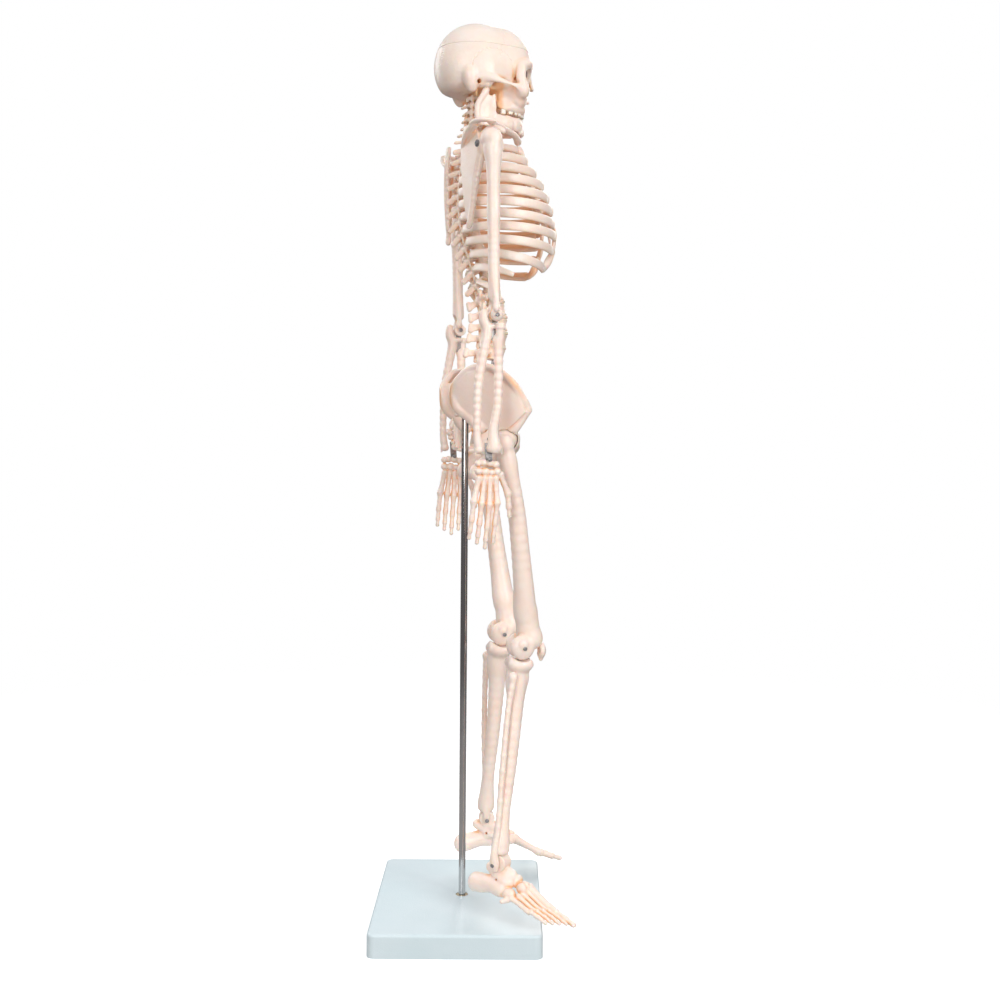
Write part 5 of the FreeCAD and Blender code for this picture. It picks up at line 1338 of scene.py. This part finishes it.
def ranged(tree, value, low, high, start=0.0, end=1.0):
    """Maps a socket's values from start..end to low..high."""
    made = node(tree, "ShaderNodeMapRange")
    tree.links.new(value, made.inputs["Value"])
    for name, number in (("From Min", start), ("From Max", end), ("To Min", low), ("To Max", high)):
        made.inputs[name].default_value = number
    return made.outputs["Result"]


def noise(tree, place, scale, detail=3.0, roughness=0.55, distortion=0.0):
    made = node(tree, "ShaderNodeTexNoise", Scale=scale, Detail=detail, Roughness=roughness, Distortion=distortion)
    tree.links.new(place, made.inputs["Vector"])
    return made.outputs["Fac"]


def new_material(name):
    material = bpy.data.materials.new(name)
    material.use_nodes = True
    tree = material.node_tree
    shader = tree.nodes["Principled BSDF"]
    place = tree.nodes.new("ShaderNodeTexCoord").outputs["Object"]
    return material, tree, shader, place


def bump(tree, shader, heights, distance=0.001):
    """Joins (height socket, strength) pairs into one chain of bumps."""
    last = None
    for height, strength in heights:
        made = node(tree, "ShaderNodeBump", Strength=strength, Distance=distance)
        tree.links.new(height, made.inputs["Height"])
        if last is not None:
            tree.links.new(last, made.inputs["Normal"])
        last = made.outputs["Normal"]
    tree.links.new(last, shader.inputs["Normal"])


def bone_material(name, pale, warm, deep):
    """Moulded plastic bone: mottled cream, with painted warm shade where the shape is sunk, fine pores and a soft
    gloss.
    """
    material, tree, shader, place = new_material(name)
    clouds = noise(tree, place, 45, 4, 0.6)
    patches = noise(tree, place, 210, 3, 0.6, 0.3)
    base = colour_mix(tree, ranged(tree, clouds, 0, 1, 0.3, 0.72), pale, warm)
    base = colour_mix(tree, ranged(tree, patches, 0, 0.28, 0.45, 0.75), base, warm)
    # painted shade: the hollow attribute blends in the deep colour, a warm shade painted into sunk places
    hollow = node(tree, "ShaderNodeAttribute", attribute_name="hollow").outputs["Fac"]
    base = colour_mix(tree, ranged(tree, hollow, 0, 0.75, 0.12, 0.85), base, deep)
    tree.links.new(base, shader.inputs["Base Color"])
    tree.links.new(ranged(tree, patches, 0.3, 0.46, 0.3, 0.7), shader.inputs["Roughness"])
    shader.inputs["Subsurface Weight"].default_value = 0.3
    shader.inputs["Subsurface Radius"].default_value = (1.0, 0.42, 0.22)
    shader.inputs["Subsurface Scale"].default_value = 0.005
    shader.inputs["Coat Weight"].default_value = 0.18
    shader.inputs["Coat Roughness"].default_value = 0.22
    pores = noise(tree, place, 1500, 2, 0.7)
    ripples = noise(tree, place, 260, 3, 0.55, 0.4)
    bump(tree, shader, ((ripples, 0.28), (pores, 0.12)), 0.0008)
    return material


def disc_material():
    """Pale, slightly clear vinyl with a fibrous ring pattern."""
    material, tree, shader, place = new_material("disc_vinyl")
    rings = node(tree, "ShaderNodeTexWave", Scale=260, Distortion=2.5, Detail=2)
    rings.bands_direction = "Z"
    tree.links.new(place, rings.inputs["Vector"])
    base = colour_mix(tree, ranged(tree, rings.outputs["Fac"], 0, 0.6), (0.91, 0.77, 0.64, 1), (0.84, 0.66, 0.50, 1))
    tree.links.new(base, shader.inputs["Base Color"])
    shader.inputs["Subsurface Weight"].default_value = 0.25
    shader.inputs["Subsurface Scale"].default_value = 0.003
    tree.links.new(ranged(tree, noise(tree, place, 300), 0.35, 0.5), shader.inputs["Roughness"])
    bump(tree, shader, ((rings.outputs["Fac"], 0.2), (noise(tree, place, 900), 0.15)), 0.0006)
    return material


def metal_material(name, colour, dark, rough, brushed=0.25, streak=(1, 1, 12)):
    """Bare metal with fine drawn lines, smudges and small pits."""
    material, tree, shader, place = new_material(name)
    stretch = node(tree, "ShaderNodeMapping")
    stretch.inputs["Scale"].default_value = streak
    tree.links.new(place, stretch.inputs["Vector"])
    lines = noise(tree, stretch.outputs["Vector"], 420, 2, 0.6)
    smudge = noise(tree, place, 60, 4, 0.6)
    base = colour_mix(tree, ranged(tree, smudge, 0, 0.5, 0.35, 0.75), colour, dark)
    tree.links.new(base, shader.inputs["Base Color"])
    shader.inputs["Metallic"].default_value = 1.0
    tree.links.new(ranged(tree, smudge, rough * 0.75, rough * 1.5, 0.3, 0.7), shader.inputs["Roughness"])
    bump(tree, shader, ((lines, brushed),), 0.0003)
    return material


def base_material():
    """Pale blue moulded plastic with a fine leather-like texture and slightly worn edges."""
    material, tree, shader, place = new_material("base_moulded_plastic")
    clouds = noise(tree, place, 14, 4, 0.55)
    base = colour_mix(tree, ranged(tree, clouds, 0, 1, 0.3, 0.7), (0.66, 0.75, 0.78, 1), (0.60, 0.71, 0.74, 1))
    scuffs = noise(tree, place, 120, 5, 0.7, 1.2)
    base = colour_mix(tree, ranged(tree, scuffs, 0, 0.3, 0.62, 0.8), base, (0.84, 0.89, 0.90, 1))
    tree.links.new(base, shader.inputs["Base Color"])
    grain = node(tree, "ShaderNodeTexVoronoi", Scale=900)
    tree.links.new(place, grain.inputs["Vector"])
    tree.links.new(ranged(tree, clouds, 0.34, 0.5, 0.3, 0.7), shader.inputs["Roughness"])
    shader.inputs["Coat Weight"].default_value = 0.1
    bump(tree, shader, ((grain.outputs["Distance"], 0.16), (noise(tree, place, 40), 0.08)), 0.0005)
    return material


def rubber_material():
    material, tree, shader, place = new_material("pad_rubber_black")
    grain = noise(tree, place, 700, 3, 0.7)
    base = colour_mix(tree, ranged(tree, grain, 0, 1), (0.03, 0.03, 0.032, 1), (0.065, 0.065, 0.07, 1))
    tree.links.new(base, shader.inputs["Base Color"])
    tree.links.new(ranged(tree, grain, 0.65, 0.85), shader.inputs["Roughness"])
    bump(tree, shader, ((grain, 0.3),), 0.0005)
    return material


# The third colour of each bone material is the warm painted shade for sunk places.
BONE = bone_material("bone_plastic_cream", (0.95, 0.81, 0.73, 1), (0.92, 0.73, 0.62, 1), (0.90, 0.47, 0.18, 1))
SPINE_BONE = bone_material("bone_plastic_pale", (0.94, 0.79, 0.69, 1), (0.91, 0.71, 0.58, 1), (0.80, 0.40, 0.17, 1))
GRISTLE = bone_material("cartilage_plastic", (0.92, 0.77, 0.68, 1), (0.89, 0.70, 0.58, 1), (0.80, 0.42, 0.18, 1))
TEETH = bone_material("tooth_plastic", (0.93, 0.85, 0.75, 1), (0.90, 0.77, 0.66, 1), (0.80, 0.50, 0.30, 1))
DISC = disc_material()
STEEL = metal_material("fitting_steel_dull", (0.34, 0.33, 0.33, 1), (0.20, 0.19, 0.19, 1), 0.3)
CHROME = metal_material("pole_chrome_plate", (0.58, 0.57, 0.57, 1), (0.44, 0.43, 0.43, 1), 0.08, 0.06, (1, 1, 0.05))
BRASS = metal_material("insert_brass_turned", (0.50, 0.42, 0.30, 1), (0.36, 0.29, 0.2, 1), 0.3, 0.2, (1, 1, 20))
BASE = base_material()
RUBBER = rubber_material()

NODE_MATERIALS = {
    "base_plate": BASE, "base_pads": RUBBER, "pole_insert": BRASS, "pole": CHROME, "spine_rod": STEEL,
    "skull_nut": STEEL, "back_screws": STEEL, "jaw_screws": STEEL,
}
for kind in ("shoulder_link", "elbow_link", "wrist_link", "hip_screw", "knee_strap", "ankle_screw"):
    for letter in SIDES:
        NODE_MATERIALS[f"{kind}_{letter}"] = STEEL
for node_name, node_material in NODE_MATERIALS.items():
    cad_mesh = frame["nodes"][node_name].data
    cad_mesh.materials.clear()
    cad_mesh.materials.append(node_material)

# ---------------------------------------------------------------- casting the bones

# Piece, its shape, the body it rides on and the CAD nodes it stands for.
MIDDLE_BONES = (
    ("cranium_moulding", make_cranium, "skull", ["cranium"]),
    ("calvarium_moulding", make_calvarium, "skull_cap", ["calvarium"]),
    ("mandible_moulding", make_mandible, "jaw", ["mandible"]),
    ("sacrum_moulding", make_sacrum, "torso", ["sacrum"]),
    ("coccyx_moulding", make_coccyx, "torso", ["coccyx"]),
    ("sternum_moulding", make_sternum, "torso", ["sternum"]),
)
PAIRED_BONES = (
    ("hip_bone", make_hip_bone, "torso", "hip_bone"), ("clavicle", make_clavicle, "torso", "clavicle"),
    ("scapula", make_scapula, "torso", "scapula"), ("humerus", make_humerus, "upper_arm_", "humerus"),
    ("ulna", make_ulna, "forearm_", "ulna"), ("radius", make_radius, "forearm_", "radius"),
    ("hand", make_hand, "palm_", "hand"), ("femur", make_femur, "thigh_", "femur"),
    ("patella", make_patella, "thigh_", "patella"), ("foot", make_foot, "sole_", "foot"),
)
SHANK_BONES = (("tibia", make_tibia), ("fibula", make_fibula))


def bone_jobs():
    """Every clay to be shaped, by name: the function and its arguments."""
    jobs = {name: (shape, ()) for name, shape, _, _ in MIDDLE_BONES}
    jobs.update({name: (shape, ()) for name, shape, _, _ in PAIRED_BONES})
    for name, shape in SHANK_BONES:
        jobs.update({f"{name}_{letter}": (shape, (letter,)) for letter in SIDES})
    for region, number, _, up in VERTEBRAE:
        jobs[f"{region}_{number}"] = (make_vertebra, (region, number, float(np.linalg.norm(up))))
    jobs.update({"upper_teeth": (make_teeth, (True,)), "lower_teeth": (make_teeth, (False,)),
                 "pubic_disc_cast": (make_pubic_disc, ())})
    return jobs


with ThreadPoolExecutor(4) as workers:
    waiting = {name: workers.submit(shape, *given) for name, (shape, given) in bone_jobs().items()}
    CLAYS = {name: job.result() for name, job in waiting.items()}


def body_for(body, letter):
    return body + letter if body.endswith("_") else body


def place_middle_bones():
    # the skull and jaw pieces get extra painted shade in their recesses
    shade_painters = {"cranium_moulding": skull_painted_shade, "calvarium_moulding": skull_painted_shade, "mandible_moulding": jaw_painted_shade}
    for name, _, body, nodes in MIDDLE_BONES:
        finish_piece(cast(name, CLAYS[name], shade_painter=shade_painters.get(name)), body, BONE, nodes)
    finish_piece(cast("upper_teeth_row", CLAYS["upper_teeth"]), "skull", TEETH, [])
    finish_piece(cast("lower_teeth_row", CLAYS["lower_teeth"]), "jaw", TEETH, [])
    finish_piece(cast("pubic_disc_gristle", CLAYS["pubic_disc_cast"]), "torso", DISC, ["pubic_disc"])


def place_paired_bones():
    for name, _, body, kind in PAIRED_BONES:
        for letter, side in SIDES.items():
            piece = cast(f"{name}_moulding_{letter}", CLAYS[name], side)
            if name == "foot":
                _, ahead = foot_ways(letter)
                yaw = side * math.atan2(ahead[0], ahead[1])
                out, forward, height = ANKLES[letter] * MM
                turn = Matrix.Rotation(yaw, 4, "Z") @ Matrix.Rotation(math.radians(FOOT_DROP[letter]), 4, "X")
                piece.data.transform(Matrix.Translation((side * out, -forward, height)) @ turn)
            finish_piece(piece, body_for(body, letter), BONE, [f"{kind}_{letter}"])
    for name, _ in SHANK_BONES:
        for letter, side in SIDES.items():
            piece = cast(f"{name}_moulding_{letter}", CLAYS[f"{name}_{letter}"], side)
            finish_piece(piece, "shank_" + letter, BONE, [f"{name}_{letter}"])


def place_vertebrae():
    for region, number, middle, up in VERTEBRAE:
        piece = cast(f"{region}_vertebra_{number}", CLAYS[f"{region}_{number}"])
        lean = math.atan2(up[1], up[2])
        place = Matrix.Translation(Vector((0, -middle[1], middle[2])) * MM) @ Matrix.Rotation(lean, 4, "X")
        piece.data.transform(place)
        finish_piece(piece, "torso", SPINE_BONE, [region + "_vertebrae"])


def place_discs():
    """A soft ring between each two bodies, bulging a little at its rim."""
    middles = [spot(0, middle[1], middle[2]) for middle in DISC_MIDDLES]
    for index, middle in enumerate(middles):
        region, number, _, up = VERTEBRAE[index]
        radius = vertebra_body_radius(region, number)
        wide = {"lumbar": 1.12, "thoracic": 0.99, "cervical": 1.1}[region]
        height = np.linalg.norm(up) * (1 - BODY_SHARE) + 0.5
        following = VERTEBRAE[index + 1][2] - VERTEBRAE[index][2]
        lean = math.atan2(following[1], following[2])
        count = 56
        points, faces = [], []
        levels = [(-0.5, 0.9), (-0.42, 0.985), (-0.2, 1.03), (0, 1.045), (0.2, 1.03), (0.42, 0.985), (0.5, 0.9)]
        for level, share in levels:
            for step in range(count):
                angle = math.tau * step / count
                flute = 1 + 0.006 * math.sin(9 * angle + index)
                points.append((radius * wide * share * flute * math.sin(angle),
                               -radius * 0.93 * share * flute * math.cos(angle), height * level))
        for ring in range(len(levels) - 1):
            for step in range(count):
                other = (step + 1) % count
                faces.append((ring * count + step, ring * count + other, (ring + 1) * count + other,
                              (ring + 1) * count + step))
        faces.append(tuple(reversed(range(count))))
        faces.append(tuple(range((len(levels) - 1) * count, len(levels) * count)))
        mesh = bpy.data.meshes.new(f"spinal_disc_{index + 1}")
        mesh.from_pydata([(x * MM, y * MM, z * MM) for x, y, z in points], [], faces)
        mesh.polygons.foreach_set("use_smooth", np.ones(len(faces), bool))
        disc = bpy.data.objects.new(mesh.name, mesh)
        bpy.context.scene.collection.objects.link(disc)
        place = Matrix.Translation(Vector((0, -middle[1], middle[2])) * MM) @ Matrix.Rotation(lean, 4, "X")
        mesh.transform(place)
        mesh.update()
        finish_piece(disc, "torso", DISC, ["spinal_discs"])


def place_ribs():
    profile = rib_profile()
    around = np.array([(math.cos(math.tau * step / 16), math.sin(math.tau * step / 16)) for step in range(16)])
    for letter, side in SIDES.items():
        for number in range(1, RIB_COUNT + 1):
            line, tall_way, sizes = rib_line(number)
            piece = swept(f"rib_{number}_{letter}", line, tall_way, sizes, side, profile)
            finish_piece(piece, "torso", BONE, ["ribs_" + letter])
            if number > 10:
                continue
            line = cartilage_line(number)
            grow = np.linspace(0, 1, len(line))
            sizes = [(4.0 - 0.9 * share + 0.3 * math.sin(7 * share + number), 1.8 + 0.2 * share) for share in grow]
            sizes[0] = (3.0, 1.2)
            sizes[-1] = (2.2, 1.1)
            piece = swept(f"rib_gristle_{number}_{letter}", line, tall_way, sizes, side, around)
            finish_piece(piece, "torso", GRISTLE, ["costal_cartilage_" + letter])


def place_screws():
    for name, clay, side, body in fitting_screws():
        piece = cast(name, clay, side)
        piece.data.materials.append(STEEL)
        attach(piece, body)


place_middle_bones()
place_paired_bones()
place_vertebrae()
place_discs()
place_ribs()
place_screws()

# ---------------------------------------------------------------- studio

FLOOR_RADIUS, FLOOR_GLOW = 2.4, 0.3
FLOOR_BOUNCE = (0.34, 0.33, 0.32, 1)


def make_floor():
    """A pale floor that fades out into the white backdrop."""
    count = 96
    rings = [0, 0.3, 0.7, 1.2, 1.8, FLOOR_RADIUS]
    points = [(0, 0, 0)]
    for radius in rings[1:]:
        points += [(radius * math.cos(math.tau * i / count), radius * math.sin(math.tau * i / count), 0)
                   for i in range(count)]
    faces = [(0, 1 + i, 1 + (i + 1) % count) for i in range(count)]
    for ring in range(len(rings) - 2):
        start = 1 + ring * count
        faces += [(start + i, start + count + i, start + count + (i + 1) % count, start + (i + 1) % count)
                  for i in range(count)]
    mesh = bpy.data.meshes.new("floor")
    mesh.from_pydata(points, [], faces)
    floor = bpy.data.objects.new("floor", mesh)
    bpy.context.scene.collection.objects.link(floor)
    material, tree, shader, place = new_material("floor_pale")
    grain = noise(tree, place, 60, 4, 0.6)
    pale = colour_mix(tree, grain, (0.94, 0.945, 0.95, 1), (0.97, 0.97, 0.97, 1))
    seen = node(tree, "ShaderNodeLightPath").outputs["Is Camera Ray"]
    tree.links.new(colour_mix(tree, seen, FLOOR_BOUNCE, pale), shader.inputs["Base Color"])
    shader.inputs["Roughness"].default_value = 0.8
    shader.inputs["Emission Color"].default_value = (1, 1, 1, 1)
    tree.links.new(ranged(tree, seen, 0, FLOOR_GLOW), shader.inputs["Emission Strength"])
    length = node(tree, "ShaderNodeVectorMath", operation="LENGTH")
    tree.links.new(place, length.inputs[0])
    fade = ranged(tree, length.outputs["Value"], 0, 1, 0.25, 1.3)
    clear = node(tree, "ShaderNodeBsdfTransparent")
    mix = node(tree, "ShaderNodeMixShader")
    tree.links.new(fade, mix.inputs[0])
    tree.links.new(shader.outputs[0], mix.inputs[1])
    tree.links.new(clear.outputs[0], mix.inputs[2])
    tree.links.new(mix.outputs[0], tree.nodes["Material Output"].inputs["Surface"])
    mesh.materials.append(material)


def add_light(name, place, aim, size, power, colour=(1, 1, 1)):
    lamp = bpy.data.lights.new(name, "AREA")
    lamp.shape = "RECTANGLE"
    lamp.size, lamp.size_y = size
    lamp.energy = power
    lamp.color = colour
    obj = bpy.data.objects.new(name, lamp)
    obj.location = place
    obj.rotation_euler = (Vector(aim) - Vector(place)).to_track_quat("-Z", "Y").to_euler()
    bpy.context.scene.collection.objects.link(obj)


HORIZON, DOME = (0.14, 0.135, 0.135, 1), (0.68, 0.68, 0.70, 1)


def make_studio():
    """A white room: the backdrop shows white, the walls are dim beside the lamps and the ceiling glows."""
    scene = bpy.context.scene
    scene.view_settings.view_transform = "Standard"
    world = bpy.data.worlds.new("studio")
    scene.world = world
    world.use_nodes = True
    tree = world.node_tree
    backdrop = tree.nodes["Background"]
    backdrop.inputs["Color"].default_value = (1, 1, 1, 1)
    backdrop.inputs["Strength"].default_value = 1.0
    rise = node(tree, "ShaderNodeSeparateXYZ")
    tree.links.new(tree.nodes.new("ShaderNodeTexCoord").outputs["Generated"], rise.inputs[0])
    dome = colour_mix(tree, ranged(tree, rise.outputs["Z"], 0, 1, 0.05, 0.5), HORIZON, DOME)
    soft = node(tree, "ShaderNodeBackground", Strength=1.0)
    tree.links.new(dome, soft.inputs["Color"])
    seen = node(tree, "ShaderNodeLightPath").outputs["Is Camera Ray"]
    mix = node(tree, "ShaderNodeMixShader")
    tree.links.new(seen, mix.inputs[0])
    tree.links.new(soft.outputs[0], mix.inputs[1])
    tree.links.new(backdrop.outputs[0], mix.inputs[2])
    tree.links.new(mix.outputs[0], tree.nodes["World Output"].inputs["Surface"])
    middle = (0, 0, 0.7)
    add_light("key_light", (-1.9, -0.9, 1.12), middle, (0.9, 1.1), 23.5, (1, 0.98, 0.96))
    add_light("side_light", (-1.9, 1.0, 0.9), middle, (0.8, 1.1), 18)
    add_light("far_light", (1.7, -0.9, 1.3), middle, (0.9, 1.3), 14)
    add_light("back_light", (1.4, 1.2, 1.4), middle, (0.9, 1.3), 12)


make_floor()
make_studio()

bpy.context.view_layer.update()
